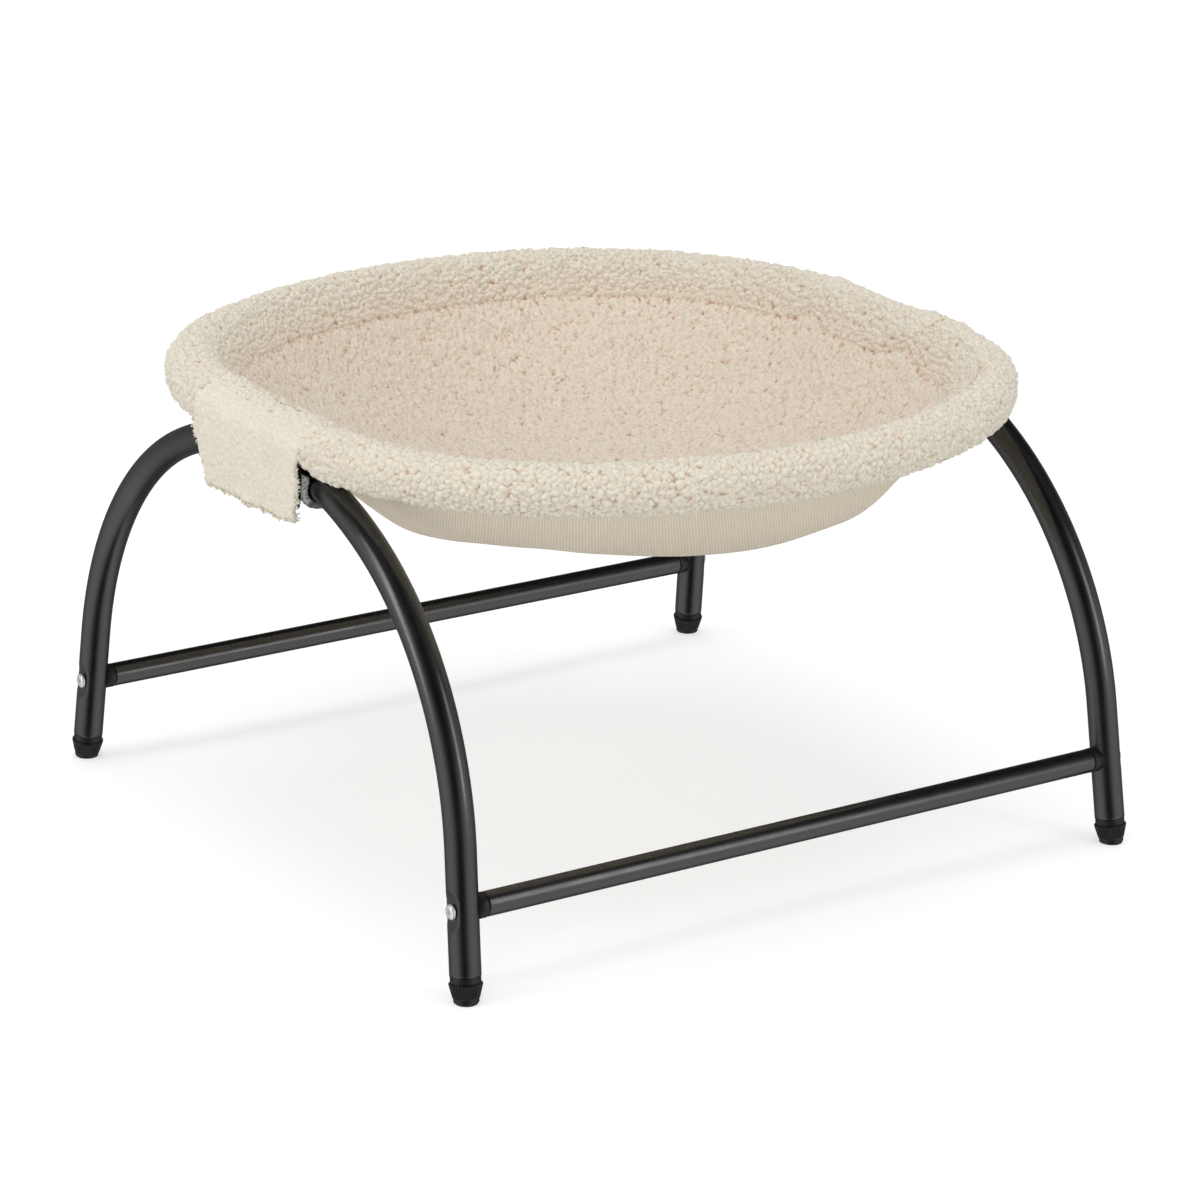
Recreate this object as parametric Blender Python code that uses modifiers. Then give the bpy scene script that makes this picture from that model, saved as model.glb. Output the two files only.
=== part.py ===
"""Elevated pet bed: a fleece bowl slung in a round hoop on two arched legs.

Two bent steel arches stand on the left and the right and lean in a little as
they rise. Two thinner crossbars tie their legs together near the floor, each
end on a moulded saddle plug with a threaded insert. Two half hoops rest on the
arch crowns and are bolted down there. A fleece sleeve covers each half hoop, a
wrap covers the joint over each crown, and a flap hangs outside each crown and
closes under it with hook tape on loop tape. The bowl is a fleece liner over a
rib-knit underside.

+X runs from the left arch to the right one, -Y is the front, +Z is up, and the
origin is on the floor under the middle of the bed.
"""
import math

import bmesh
import bpy
from mathutils import Matrix, Vector

MM = 0.001

# Frame: the arches
FOOT_SPREAD_X = 507.0 * MM
FOOT_SPREAD_Y = 506.5 * MM
ARCH_LEAN = math.radians(2.09)
LEG_SLOPE = math.radians(7.5)
CROWN_HEIGHT = 288.0 * MM
CROWN_SWEEP = math.radians(25.5)
LEG_DIAMETER = 20.0 * MM
LEG_WALL = 1.2 * MM
LEG_SIDES = 16
SHOULDER_STEPS = 7
CROWN_STEPS = 8

# Frame: the pressed dimple that takes each bolt head
DIMPLE_LENGTH = 30.0 * MM
DIMPLE_FLOOR = 12.0 * MM
DIMPLE_DEPTH = 2.7 * MM
DIMPLE_RAMP_STEPS = 3
BEND_CLEARANCE = 20.8 * MM

# Frame: the crossbars and their plugs
BAR_HEIGHT = 58.6 * MM
BAR_DIAMETER = 16.0 * MM
BAR_WALL = 1.0 * MM
BAR_SIDES = 16
PLUG_COLLAR_DIAMETER = 16.4 * MM
PLUG_COLLAR_LENGTH = 4.6 * MM
PLUG_STEM_LENGTH = 24.0 * MM
PLUG_SIDES = 16

# Fasteners
BOLT_DIAMETER = 5.0 * MM
BOLT_HEAD_DIAMETER = 9.9 * MM
BOLT_HEAD_HEIGHT = 2.6 * MM
BOLT_SOCKET_DIAMETER = 3.4 * MM
BOLT_SOCKET_DEPTH = 1.4 * MM
BOLT_SHOULDER_SHARE = 0.62
BOLT_BROW_SHARE = 0.86
BOLT_SIDES = 12
INSERT_DIAMETER = 7.6 * MM
INSERT_LENGTH = 10.0 * MM
INSERT_SIDES = 10
RIVET_FLANGE_DIAMETER = 9.4 * MM
RIVET_FLANGE_HEIGHT = 2.0 * MM

# Frame: the foot caps
NECK_DIAMETER = 19.4 * MM
NECK_LENGTH = 4.8 * MM
SKIRT_TOP_DIAMETER = 21.4 * MM
SKIRT_FOOT_DIAMETER = 17.4 * MM
SKIRT_HEIGHT = 9.4 * MM
FOOT_PAD_DIAMETER = 16.0 * MM
FOOT_PAD_HEIGHT = 3.2 * MM
FOOT_STEM_LENGTH = 14.0 * MM
FOOT_RIBS = 26
FOOT_RIB_DEPTH = 0.7 * MM
FOOT_SIDES = 16

# The hoop, in two halves
HOOP_DEPTH = 513.4 * MM
HOOP_SEAT_LENGTH = 120.0 * MM
HOOP_SHOULDER_SWEEP = math.radians(56.7)
HOOP_DIAMETER = 16.0 * MM
HOOP_WALL = 1.0 * MM
HOOP_SIDES = 12
HOOP_SHOULDER_STEPS = 6
HOOP_FRONT_STEPS = 4
HOOP_BOLT_OFFSET = 12.0 * MM

# The cover: sleeves, wraps, flaps and tapes
SLEEVE_DIAMETER = 34.0 * MM
SLEEVE_HANG = 3.7 * MM
SLEEVE_SIDES = 12
MOUTH_WIDTH = 130.0 * MM
WRAP_SLIT = 12.0 * MM
FLAP_THICKNESS = 5.0 * MM
FLAP_LONG_DROP = 52.5 * MM
FLAP_SHORT_DROP = 41.0 * MM
FLAP_EDGE_SHARE = 0.46
TAPE_THICKNESS = 1.5 * MM
TAPE_WIDTH = 124.0 * MM
TAPE_STEPS = 4
TAPE_ARC_STEPS = 8
HOOK_HEIGHT = 26.0 * MM
HOOK_TOP_DROP = 9.0 * MM

# The bowl
LINER_THICKNESS = 6.0 * MM
UNDERSIDE_THICKNESS = 2.0 * MM
UNDERSIDE_FLOOR = 208.0 * MM
BOWL_STEEPNESS = 3.4
BOWL_RINGS = 8
RING_CROWDING = 0.71
SKIN_GAP = 0.6 * MM
FRONT_TUCK = 3.0 * MM
TUCK_START = 70.0 * MM
TUCK_END = 170.0 * MM

# Fits
GAP = 0.3 * MM
OVERRUN = 20.0 * MM
MERGE = 0.02 * MM
CREASE_ANGLE = math.radians(40)

# Worked out from the sizes above
LEG_RADIUS = LEG_DIAMETER / 2
BAR_RADIUS = BAR_DIAMETER / 2
HOOP_RADIUS = HOOP_DIAMETER / 2
SLEEVE_RADIUS = SLEEVE_DIAMETER / 2
BOLT_RADIUS = BOLT_DIAMETER / 2
BOLT_HEAD_RADIUS = BOLT_HEAD_DIAMETER / 2
BORE_RADIUS = BOLT_RADIUS + GAP
MOUTH_HALF = MOUTH_WIDTH / 2
SEAT_HALF = HOOP_SEAT_LENGTH / 2
FOOT_TOP = FOOT_PAD_HEIGHT + SKIRT_HEIGHT + NECK_LENGTH

# Heights and distances measured in the leaning plane of an arch
BAR_RISE = BAR_HEIGHT / math.cos(ARCH_LEAN)
BAR_REACH_Y = FOOT_SPREAD_Y / 2 - BAR_RISE * math.tan(LEG_SLOPE)
BAR_REACH_X = FOOT_SPREAD_X / 2 - BAR_RISE * math.sin(ARCH_LEAN)
DIMPLE_ALONG = BAR_RISE / math.cos(LEG_SLOPE)
BEND_ALONG = DIMPLE_ALONG + DIMPLE_LENGTH / 2 + BEND_CLEARANCE
HOOP_RISE = CROWN_HEIGHT + LEG_RADIUS + GAP + HOOP_RADIUS
CROWN_X = FOOT_SPREAD_X / 2 - CROWN_HEIGHT * math.sin(ARCH_LEAN)
HOOP_X = FOOT_SPREAD_X / 2 - HOOP_RISE * math.sin(ARCH_LEAN)
HOOP_Z = HOOP_RISE * math.cos(ARCH_LEAN)
SLEEVE_Z = HOOP_Z - SLEEVE_HANG


def arch_radii():
    """Radii of the shoulder and crown arcs that join both legs smoothly.

    The climb from the start of a bend to the crown and the reach of the leg
    at that start are two linear conditions on the two radii.
    """
    sine, cosine = math.sin(CROWN_SWEEP), math.cos(CROWN_SWEEP)
    climb = CROWN_HEIGHT - BEND_ALONG * math.cos(LEG_SLOPE)
    reach = FOOT_SPREAD_Y / 2 - BEND_ALONG * math.sin(LEG_SLOPE)
    shoulder_climb = cosine - math.sin(LEG_SLOPE)
    shoulder_reach = math.cos(LEG_SLOPE) - sine
    spread = (1 - cosine) * shoulder_reach - sine * shoulder_climb
    shoulder = ((1 - cosine) * reach - sine * climb) / spread
    crown = (climb * shoulder_reach - reach * shoulder_climb) / spread
    return shoulder, crown


SHOULDER_RADIUS, CROWN_RADIUS = arch_radii()
CROWN_STEP = 2 * CROWN_SWEEP / CROWN_STEPS
SHOULDER_HEIGHT = (CROWN_HEIGHT - CROWN_RADIUS
                   + (CROWN_RADIUS - SHOULDER_RADIUS) * math.cos(CROWN_SWEEP))
SHOULDER_REACH = (CROWN_RADIUS - SHOULDER_RADIUS) * math.sin(CROWN_SWEEP)

# The underside of the crown is a straight chord from its middle to the first
# bend of the tube, and the bolt heads sit just below it.
CROWN_CHORD_SLOPE = math.tan(CROWN_STEP / 2)
HOOP_BOLT_SEAT = (CROWN_HEIGHT - LEG_RADIUS / math.cos(CROWN_STEP / 2) - GAP
                  - (HOOP_BOLT_OFFSET + BOLT_HEAD_RADIUS) * CROWN_CHORD_SLOPE)
HOOP_BOLT_TOP = HOOP_RISE - HOOP_RADIUS + INSERT_LENGTH - GAP

# Outboard stack at a crown, from the arch's own plane outwards
FLAP_FACE = SLEEVE_RADIUS + GAP - SLEEVE_HANG * math.sin(ARCH_LEAN)
HOOK_FACE = FLAP_FACE - GAP - TAPE_THICKNESS
LOOP_RADIUS = HOOK_FACE - GAP - TAPE_THICKNESS
LOOP_FLAT = LOOP_RADIUS * math.cos(math.pi / TAPE_ARC_STEPS / 2)
LOOP_DROP = CROWN_HEIGHT - (HOOP_BOLT_SEAT - BOLT_HEAD_HEIGHT) + GAP - LOOP_FLAT
HINGE_OUT = FLAP_FACE + FLAP_THICKNESS / 2
HINGE_RISE = SLEEVE_Z / math.cos(ARCH_LEAN)
CROWN_TUCK = LOOP_RADIUS + TAPE_THICKNESS + SKIN_GAP - (CROWN_X - HOOP_X)


def hoop_shoulder_radius():
    """Radius of the hoop's corners, from its width, depth and straight seats."""
    sine = math.sin(HOOP_SHOULDER_SWEEP)
    cosine = math.cos(HOOP_SHOULDER_SWEEP)
    flatness = (1 - sine) / cosine
    spare = HOOP_DEPTH / 2 - SEAT_HALF - HOOP_X * flatness
    return spare / (sine - (1 - cosine) * flatness)


HOOP_CORNER = hoop_shoulder_radius()
HOOP_CORNER_X = HOOP_X - HOOP_CORNER
HOOP_FRONT_RADIUS = (HOOP_CORNER_X / math.cos(HOOP_SHOULDER_SWEEP)) + HOOP_CORNER
HOOP_FRONT_Y = HOOP_DEPTH / 2 - HOOP_FRONT_RADIUS


# Collections, materials and small helpers

def clear_scene():
    """Remove every object, so that the script can be run again."""
    for item in list(bpy.data.objects):
        bpy.data.objects.remove(item, do_unlink=True)


def new_collection(name):
    """Make a collection under the scene's own."""
    group = bpy.data.collections.new(name)
    bpy.context.scene.collection.children.link(group)
    return group


clear_scene()
BED = new_collection("elevated_pet_bed")
CUTTERS = new_collection("cutters")


def material(name, colour, roughness, metallic=0.0):
    """A Principled material with a plain colour."""
    made = bpy.data.materials.new(name)
    made.use_nodes = True
    shader = made.node_tree.nodes["Principled BSDF"]
    shader.inputs["Base Color"].default_value = (*colour, 1.0)
    shader.inputs["Roughness"].default_value = roughness
    shader.inputs["Metallic"].default_value = metallic
    made.diffuse_color = (*colour, 1.0)
    return made


POWDER_COAT = material("black_powder_coat", (0.020, 0.021, 0.022), 0.42)
BLACK_PLASTIC = material("black_plastic", (0.014, 0.014, 0.015), 0.5)
ZINC = material("bright_zinc", (0.72, 0.73, 0.74), 0.25, 1.0)
FLEECE = material("cream_fleece", (0.80, 0.75, 0.67), 0.95)
RIB_KNIT = material("beige_rib_knit", (0.66, 0.60, 0.50), 0.9)
HOOK_TAPE = material("black_hook_tape", (0.02, 0.02, 0.02), 0.8)
LOOP_TAPE = material("grey_loop_tape", (0.30, 0.30, 0.30), 0.95)


def empty(name, parent=None, location=(0, 0, 0), rotation=(0, 0, 0)):
    """A plain axis that other objects hang from."""
    item = bpy.data.objects.new(name, None)
    item.location = location
    item.rotation_euler = rotation
    item.parent = parent
    BED.objects.link(item)
    return item


def place(item, parent, location, rotation):
    """Hang an object from a parent at a place and an angle."""
    item.parent = parent
    item.location = location
    item.rotation_euler = rotation
    return item


def mesh_object(name, mesh, surface=None, parent=None, location=(0, 0, 0),
                rotation=(0, 0, 0)):
    """A part of the bed made from a mesh; without a surface it is a cutter."""
    item = bpy.data.objects.new(name, mesh)
    if surface is None:
        CUTTERS.objects.link(item)
        item.hide_render = True
        item.display_type = "WIRE"
    else:
        BED.objects.link(item)
        if not mesh.materials:
            mesh.materials.append(surface)
        mesh.shade_smooth()
        mesh.set_sharp_from_angle(angle=CREASE_ANGLE)
    return place(item, parent, location, rotation)


def curve_data(name, points, radius, sides, caps):
    """A POLY curve through points, with a round bevel of so many sides."""
    curve = bpy.data.curves.new(name, "CURVE")
    curve.dimensions = "3D"
    curve.twist_mode = "Z_UP"
    curve.bevel_depth = radius
    curve.bevel_resolution = (sides - 4) // 2
    curve.use_fill_caps = caps
    spline = curve.splines.new("POLY")
    spline.points.add(len(points) - 1)
    for knot, point in zip(spline.points, points):
        knot.co = (*point, 1)
    return curve


def mesh_from_curve(curve, name):
    """Turn a curve into a mesh, weld its caps and drop the curve."""
    carrier = bpy.data.objects.new(name, curve)
    CUTTERS.objects.link(carrier)
    graph = bpy.context.evaluated_depsgraph_get()
    mesh = bpy.data.meshes.new_from_object(carrier.evaluated_get(graph))
    bpy.data.objects.remove(carrier, do_unlink=True)
    bpy.data.curves.remove(curve)
    shape = bmesh.new()
    shape.from_mesh(mesh)
    bmesh.ops.remove_doubles(shape, verts=shape.verts, dist=MERGE)
    bmesh.ops.recalc_face_normals(shape, faces=shape.faces)
    shape.to_mesh(mesh)
    shape.free()
    mesh.materials.clear()
    return mesh


def tube_mesh(name, points, radius, sides, caps=True):
    """A round tube along points, solid with caps or an open skin without."""
    return mesh_from_curve(curve_data(name, points, radius, sides, caps), name)


def add_wall(item, thickness):
    """Give an open skin its wall, on the inner side."""
    wall = item.modifiers.new("wall", "SOLIDIFY")
    wall.thickness = thickness
    wall.offset = -1
    wall.use_even_offset = True


def cut(item, *cutters):
    """Cut an object with each cutter."""
    for cutter in cutters:
        tool = item.modifiers.new("cut_" + cutter.name, "BOOLEAN")
        tool.operation = "DIFFERENCE"
        tool.solver = "EXACT"
        tool.object = cutter


def join(item, addition):
    """Fuse another solid into an object."""
    tool = item.modifiers.new("join_" + addition.name, "BOOLEAN")
    tool.operation = "UNION"
    tool.solver = "EXACT"
    tool.object = addition


def keep(item, zone):
    """Keep only what of an object lies inside another solid."""
    tool = item.modifiers.new("keep_" + zone.name, "BOOLEAN")
    tool.operation = "INTERSECT"
    tool.solver = "EXACT"
    tool.object = zone


def cylinder_mesh(name, radius, low, high, sides):
    """A plain cylinder along Z from one height to another."""
    mesh = bpy.data.meshes.new(name)
    shape = bmesh.new()
    middle = Matrix.Translation((0, 0, (low + high) / 2))
    bmesh.ops.create_cone(shape, cap_ends=True, segments=sides, radius1=radius,
                          radius2=radius, depth=high - low, matrix=middle)
    shape.to_mesh(mesh)
    shape.free()
    return mesh


def box_mesh(name, low, high):
    """A plain box between two corners."""
    mesh = bpy.data.meshes.new(name)
    shape = bmesh.new()
    bmesh.ops.create_cube(shape, size=1)
    low, high = Vector(low), Vector(high)
    size = high - low
    shape.transform(Matrix.Translation((low + high) / 2) @ Matrix.Diagonal((*size, 1)))
    shape.to_mesh(mesh)
    shape.free()
    return mesh


def profile_mesh(name, profile, closed):
    """The half outline of a turned piece: radius and height pairs."""
    mesh = bpy.data.meshes.new(name)
    count = len(profile)
    edges = [(i, i + 1) for i in range(count - 1)]
    if closed:
        edges.append((count - 1, 0))
    mesh.from_pydata([(radius, 0, height) for radius, height in profile], edges, [])
    return mesh


def add_turn(item, sides):
    """Turn a profile once round its own Z axis."""
    turn = item.modifiers.new("turn", "SCREW")
    turn.axis = "Z"
    turn.angle = 2 * math.pi
    turn.steps = sides
    turn.render_steps = sides
    turn.use_merge_vertices = True
    turn.merge_threshold = MERGE


def turned(name, profile, sides, surface, parent, location, rotation, closed=False):
    """A turned piece, solid on its axis or, with a closed profile, a ring."""
    item = mesh_object(name, profile_mesh(name, profile, closed), surface, parent,
                       location, rotation)
    add_turn(item, sides)
    return item


# The two sides: everything on the left is the right side turned half way round

ROOT = empty("pet_bed")
RIGHT = empty("right_side", ROOT)
LEFT = empty("left_side", ROOT, rotation=(0, 0, math.pi))
PLANE_AT = (FOOT_SPREAD_X / 2, 0, 0)
PLANE_TURN = (0, -ARCH_LEAN, 0)
INWARD = (0, -math.pi / 2, 0)
SIDES = {
    "right": (RIGHT, empty("right_arch_plane", RIGHT, PLANE_AT, PLANE_TURN)),
    "left": (LEFT, empty("left_arch_plane", LEFT, PLANE_AT, PLANE_TURN)),
}
ENDS = (1, -1)


def corner_name(side, end):
    """Name the corner of the bed for a side and a leg of its arch."""
    towards_rear = (end > 0) == (side == "right")
    return ("rear" if towards_rear else "front") + "_" + side


def leg_point(along, end):
    """A point on a leg's centreline, so far up from the floor."""
    across = FOOT_SPREAD_Y / 2 - along * math.sin(LEG_SLOPE)
    return Vector((0, end * across, along * math.cos(LEG_SLOPE)))


# Arches

def dimple_stations():
    """Distances from the dimple's middle at which the tube has a ring."""
    ramp = (DIMPLE_LENGTH - DIMPLE_FLOOR) / 2
    outer = [DIMPLE_FLOOR / 2 + ramp * i / DIMPLE_RAMP_STEPS
             for i in range(DIMPLE_RAMP_STEPS + 1)]
    return [-step for step in reversed(outer)] + outer


def arch_half_path(end):
    """Centreline from one foot to just before the middle of the crown."""
    points = [leg_point(FOOT_TOP + GAP, end)]
    points += [leg_point(DIMPLE_ALONG + step, end) for step in dimple_stations()]
    low_turn = math.pi / 2 - LEG_SLOPE
    for i in range(SHOULDER_STEPS + 1):
        turn = low_turn + (CROWN_SWEEP - low_turn) * i / SHOULDER_STEPS
        points.append(Vector((0, end * (SHOULDER_REACH + SHOULDER_RADIUS * math.sin(turn)),
                              SHOULDER_HEIGHT + SHOULDER_RADIUS * math.cos(turn))))
    points += [crown_point(end * CROWN_STEP * i)
               for i in range(CROWN_STEPS // 2 - 1, 0, -1)]
    return points


def crown_point(turn):
    """A point on the crown's centreline, at an angle from the top."""
    return Vector((0, CROWN_RADIUS * math.sin(turn),
                   CROWN_HEIGHT - CROWN_RADIUS * (1 - math.cos(turn))))


def arch_path():
    """Centreline of a whole arch in its own plane, foot to foot."""
    return arch_half_path(1) + [crown_point(0)] + arch_half_path(-1)[::-1]


def press_dimples(mesh):
    """Press the outer face of both legs in, to a floor with a ramp each end."""
    for vertex in mesh.vertices:
        for end in ENDS:
            axis = leg_point(DIMPLE_ALONG, end) - leg_point(0, end)
            along = (vertex.co - leg_point(0, end)).dot(axis.normalized())
            away = abs(along - DIMPLE_ALONG)
            if away < DIMPLE_LENGTH / 2 and vertex.co.y * end > 0:
                ramp = (DIMPLE_LENGTH - DIMPLE_FLOOR) / 2
                depth = min(1, (DIMPLE_LENGTH / 2 - away) / ramp)
                depth = depth * depth * (3 - 2 * depth)
                vertex.co.x = min(vertex.co.x, LEG_RADIUS - DIMPLE_DEPTH * depth)


def bar_bolt_cutter(side, end, parent):
    """Bore for a crossbar bolt, straight through the leg."""
    name = corner_name(side, end) + "_bolt_bore"
    mesh = cylinder_mesh(name, BORE_RADIUS, -LEG_DIAMETER, LEG_DIAMETER, BOLT_SIDES)
    return mesh_object(name, mesh, None, parent,
                       (BAR_REACH_X, end * BAR_REACH_Y, BAR_HEIGHT), INWARD)


def hoop_bolt_cutter(side, end, plane):
    """Bore for a hoop bolt, straight up through the crown of the arch."""
    name = corner_name(side, end) + "_crown_bore"
    mesh = cylinder_mesh(name, BORE_RADIUS, CROWN_HEIGHT - LEG_DIAMETER,
                         CROWN_HEIGHT + LEG_RADIUS + GAP / 2, BOLT_SIDES)
    return mesh_object(name, mesh, None, plane, (0, end * HOOP_BOLT_OFFSET, 0))


def build_arches():
    """Both arches: one bent tube, dimpled, walled and drilled."""
    for side, (parent, plane) in SIDES.items():
        mesh = tube_mesh(side + "_arch", arch_path(), LEG_RADIUS, LEG_SIDES, caps=False)
        press_dimples(mesh)
        arch = mesh_object(side + "_arch", mesh, POWDER_COAT, plane)
        add_wall(arch, LEG_WALL)
        for end in ENDS:
            cut(arch, bar_bolt_cutter(side, end, parent), hoop_bolt_cutter(side, end, plane))


# Foot caps

def foot_profile():
    """Half outline of a foot's pad, core, neck and stem, from the top down."""
    stem = LEG_RADIUS - LEG_WALL - GAP
    core = FOOT_PAD_DIAMETER / 2 - FOOT_RIB_DEPTH
    neck_foot = FOOT_PAD_HEIGHT + SKIRT_HEIGHT
    return [(0, FOOT_TOP + FOOT_STEM_LENGTH),
            (stem, FOOT_TOP + FOOT_STEM_LENGTH),
            (stem, FOOT_TOP),
            (NECK_DIAMETER / 2, FOOT_TOP),
            (NECK_DIAMETER / 2, neck_foot - FOOT_RIB_DEPTH),
            (core, neck_foot - FOOT_RIB_DEPTH),
            (core, FOOT_PAD_HEIGHT + FOOT_RIB_DEPTH),
            (FOOT_PAD_DIAMETER / 2, FOOT_PAD_HEIGHT + FOOT_RIB_DEPTH),
            (FOOT_PAD_DIAMETER / 2, -FOOT_PAD_HEIGHT),
            (0, -FOOT_PAD_HEIGHT)]


def ribbed_skirt_mesh(name):
    """A tapered skirt whose every other edge is sunk between two ribs."""
    mesh = bpy.data.meshes.new(name)
    shape = bmesh.new()
    middle = Matrix.Translation((0, 0, FOOT_PAD_HEIGHT + SKIRT_HEIGHT / 2))
    bmesh.ops.create_cone(shape, cap_ends=True, segments=2 * FOOT_RIBS,
                          radius1=SKIRT_FOOT_DIAMETER / 2, radius2=SKIRT_TOP_DIAMETER / 2,
                          depth=SKIRT_HEIGHT, matrix=middle)
    for vertex in shape.verts:
        turn = math.atan2(vertex.co.y, vertex.co.x)
        if round(turn * FOOT_RIBS / math.pi) % 2:
            radius = math.hypot(vertex.co.x, vertex.co.y)
            vertex.co.xy *= (radius - FOOT_RIB_DEPTH) / radius
    shape.to_mesh(mesh)
    shape.free()
    return mesh


def build_feet():
    """Four foot caps in line with the legs, cut flat where they stand."""
    low = (-FOOT_SPREAD_X, -FOOT_SPREAD_Y, -OVERRUN)
    floor = mesh_object("floor_cutter", box_mesh("floor_cutter", low,
                                                 (FOOT_SPREAD_X, FOOT_SPREAD_Y, 0)))
    for side, (_, plane) in SIDES.items():
        for end in ENDS:
            name = corner_name(side, end)
            where = leg_point(0, end)
            tilt = (end * LEG_SLOPE, 0, 0)
            foot = turned(name + "_foot", foot_profile(), FOOT_SIDES, BLACK_PLASTIC,
                          plane, where, tilt)
            skirt = mesh_object(name + "_skirt", ribbed_skirt_mesh(name + "_skirt"),
                                None, plane, where, tilt)
            join(foot, skirt)
            cut(foot, floor)


# Crossbars, plugs, inserts and their bolts

COLLAR_END = LEG_RADIUS + PLUG_COLLAR_LENGTH
PLUG_END = COLLAR_END + PLUG_STEM_LENGTH


def plug_profile():
    """Closed half outline of a saddle plug, from its inner end down."""
    stem = BAR_RADIUS - BAR_WALL - GAP
    pocket = INSERT_DIAMETER / 2 + GAP
    pocket_floor = PLUG_END - INSERT_LENGTH - GAP
    return [(stem, PLUG_END), (stem, COLLAR_END), (PLUG_COLLAR_DIAMETER / 2, COLLAR_END),
            (PLUG_COLLAR_DIAMETER / 2, 0), (BORE_RADIUS, 0), (BORE_RADIUS, pocket_floor),
            (pocket, pocket_floor), (pocket, PLUG_END)]


def insert_profile():
    """Closed half outline of a threaded insert, from its inner end down."""
    outer = INSERT_DIAMETER / 2
    start = PLUG_END - INSERT_LENGTH
    return [(outer, PLUG_END), (outer, start), (BORE_RADIUS, start), (BORE_RADIUS, PLUG_END)]


def bolt_profile(length):
    """Half outline of a button-head bolt that bears on its zero height."""
    brow = BOLT_HEAD_RADIUS * BOLT_SHOULDER_SHARE
    return [(0, BOLT_HEAD_HEIGHT - BOLT_SOCKET_DEPTH),
            (BOLT_SOCKET_DIAMETER / 2, BOLT_HEAD_HEIGHT - BOLT_SOCKET_DEPTH),
            (BOLT_SOCKET_DIAMETER / 2, BOLT_HEAD_HEIGHT),
            (brow, BOLT_HEAD_HEIGHT * BOLT_BROW_SHARE),
            (BOLT_HEAD_RADIUS, BOLT_HEAD_HEIGHT * (1 - BOLT_SHOULDER_SHARE)),
            (BOLT_HEAD_RADIUS, 0), (BOLT_RADIUS, 0), (BOLT_RADIUS, -length), (0, -length)]


def build_crossbars():
    """Two hollow crossbars between the collars of their plugs."""
    half = BAR_REACH_X - COLLAR_END - GAP
    for name, end in (("front", -1), ("rear", 1)):
        ends = [Vector((half, 0, 0)), Vector((-half, 0, 0))]
        mesh = tube_mesh(name + "_crossbar", ends, BAR_RADIUS, BAR_SIDES, caps=False)
        bar = mesh_object(name + "_crossbar", mesh, POWDER_COAT, ROOT,
                          (0, end * BAR_REACH_Y, BAR_HEIGHT))
        add_wall(bar, BAR_WALL)


def build_bar_ends():
    """A saddle plug, its insert and its bolt at each end of each crossbar."""
    lean_rise = BOLT_HEAD_RADIUS * math.tan(ARCH_LEAN)
    bearing = LEG_RADIUS - DIMPLE_DEPTH + lean_rise + GAP
    for side, (parent, plane) in SIDES.items():
        for end in ENDS:
            name = corner_name(side, end)
            where = (BAR_REACH_X, end * BAR_REACH_Y, BAR_HEIGHT)
            plug = turned(name + "_plug", plug_profile(), PLUG_SIDES, BLACK_PLASTIC,
                          parent, where, INWARD, closed=True)
            leg_mesh = cylinder_mesh(name + "_leg_seat", LEG_RADIUS + GAP,
                                     DIMPLE_ALONG - DIMPLE_LENGTH,
                                     DIMPLE_ALONG + DIMPLE_LENGTH, LEG_SIDES)
            seat = mesh_object(name + "_leg_seat", leg_mesh, None, plane,
                               leg_point(0, end), (end * LEG_SLOPE, 0, 0))
            cut(plug, seat)
            turned(name + "_insert", insert_profile(), INSERT_SIDES, ZINC,
                   parent, where, INWARD, closed=True)
            head = (BAR_REACH_X + bearing, end * BAR_REACH_Y, BAR_HEIGHT)
            turned(name + "_bolt", bolt_profile(bearing + PLUG_END - GAP), BOLT_SIDES, ZINC,
                   parent, head, (0, math.pi / 2, 0))


# Hoop halves, rivet nuts and hoop bolts

def hoop_outline(start):
    """Plan points and outward normals of the rear half, right to left.

    The half begins at a distance start behind the middle: first the straight
    seat over the crown, then the corner arc, then the flatter rear arc.
    """
    quarter = []
    if start < SEAT_HALF:
        quarter.append((Vector((HOOP_X, start)), Vector((1, 0))))
        first = 0
    else:
        first = math.asin(min(1, (start - SEAT_HALF) / HOOP_CORNER))
    for i in range(HOOP_SHOULDER_STEPS + 1):
        turn = first + (HOOP_SHOULDER_SWEEP - first) * i / HOOP_SHOULDER_STEPS
        normal = Vector((math.cos(turn), math.sin(turn)))
        quarter.append((Vector((HOOP_CORNER_X, SEAT_HALF)) + HOOP_CORNER * normal, normal))
    for i in range(1, HOOP_FRONT_STEPS + 1):
        turn = HOOP_SHOULDER_SWEEP + (math.pi / 2 - HOOP_SHOULDER_SWEEP) * i / HOOP_FRONT_STEPS
        normal = Vector((math.cos(turn), math.sin(turn)))
        quarter.append((Vector((0, HOOP_FRONT_Y)) + HOOP_FRONT_RADIUS * normal, normal))
    mirror = [(Vector((-point.x, point.y)), Vector((-normal.x, normal.y)))
              for point, normal in quarter[-2::-1]]
    return quarter + mirror


def hoop_path(start, height):
    """Centreline of the rear half hoop at a height."""
    return [Vector((point.x, point.y, height)) for point, _ in hoop_outline(start)]


def seat_path(half, height):
    """The hoop's line over a crown, out to the chord of its first corner step."""
    corner = hoop_outline(0)[2][0]
    points = [Vector((HOOP_X, min(SEAT_HALF, half), height))]
    if half > SEAT_HALF:
        share = (half - SEAT_HALF) / (corner.y - SEAT_HALF)
        points.append(points[0].lerp(Vector((*corner, height)), share))
    mirror = [Vector((point.x, -point.y, point.z)) for point in reversed(points)]
    return mirror + points


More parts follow.
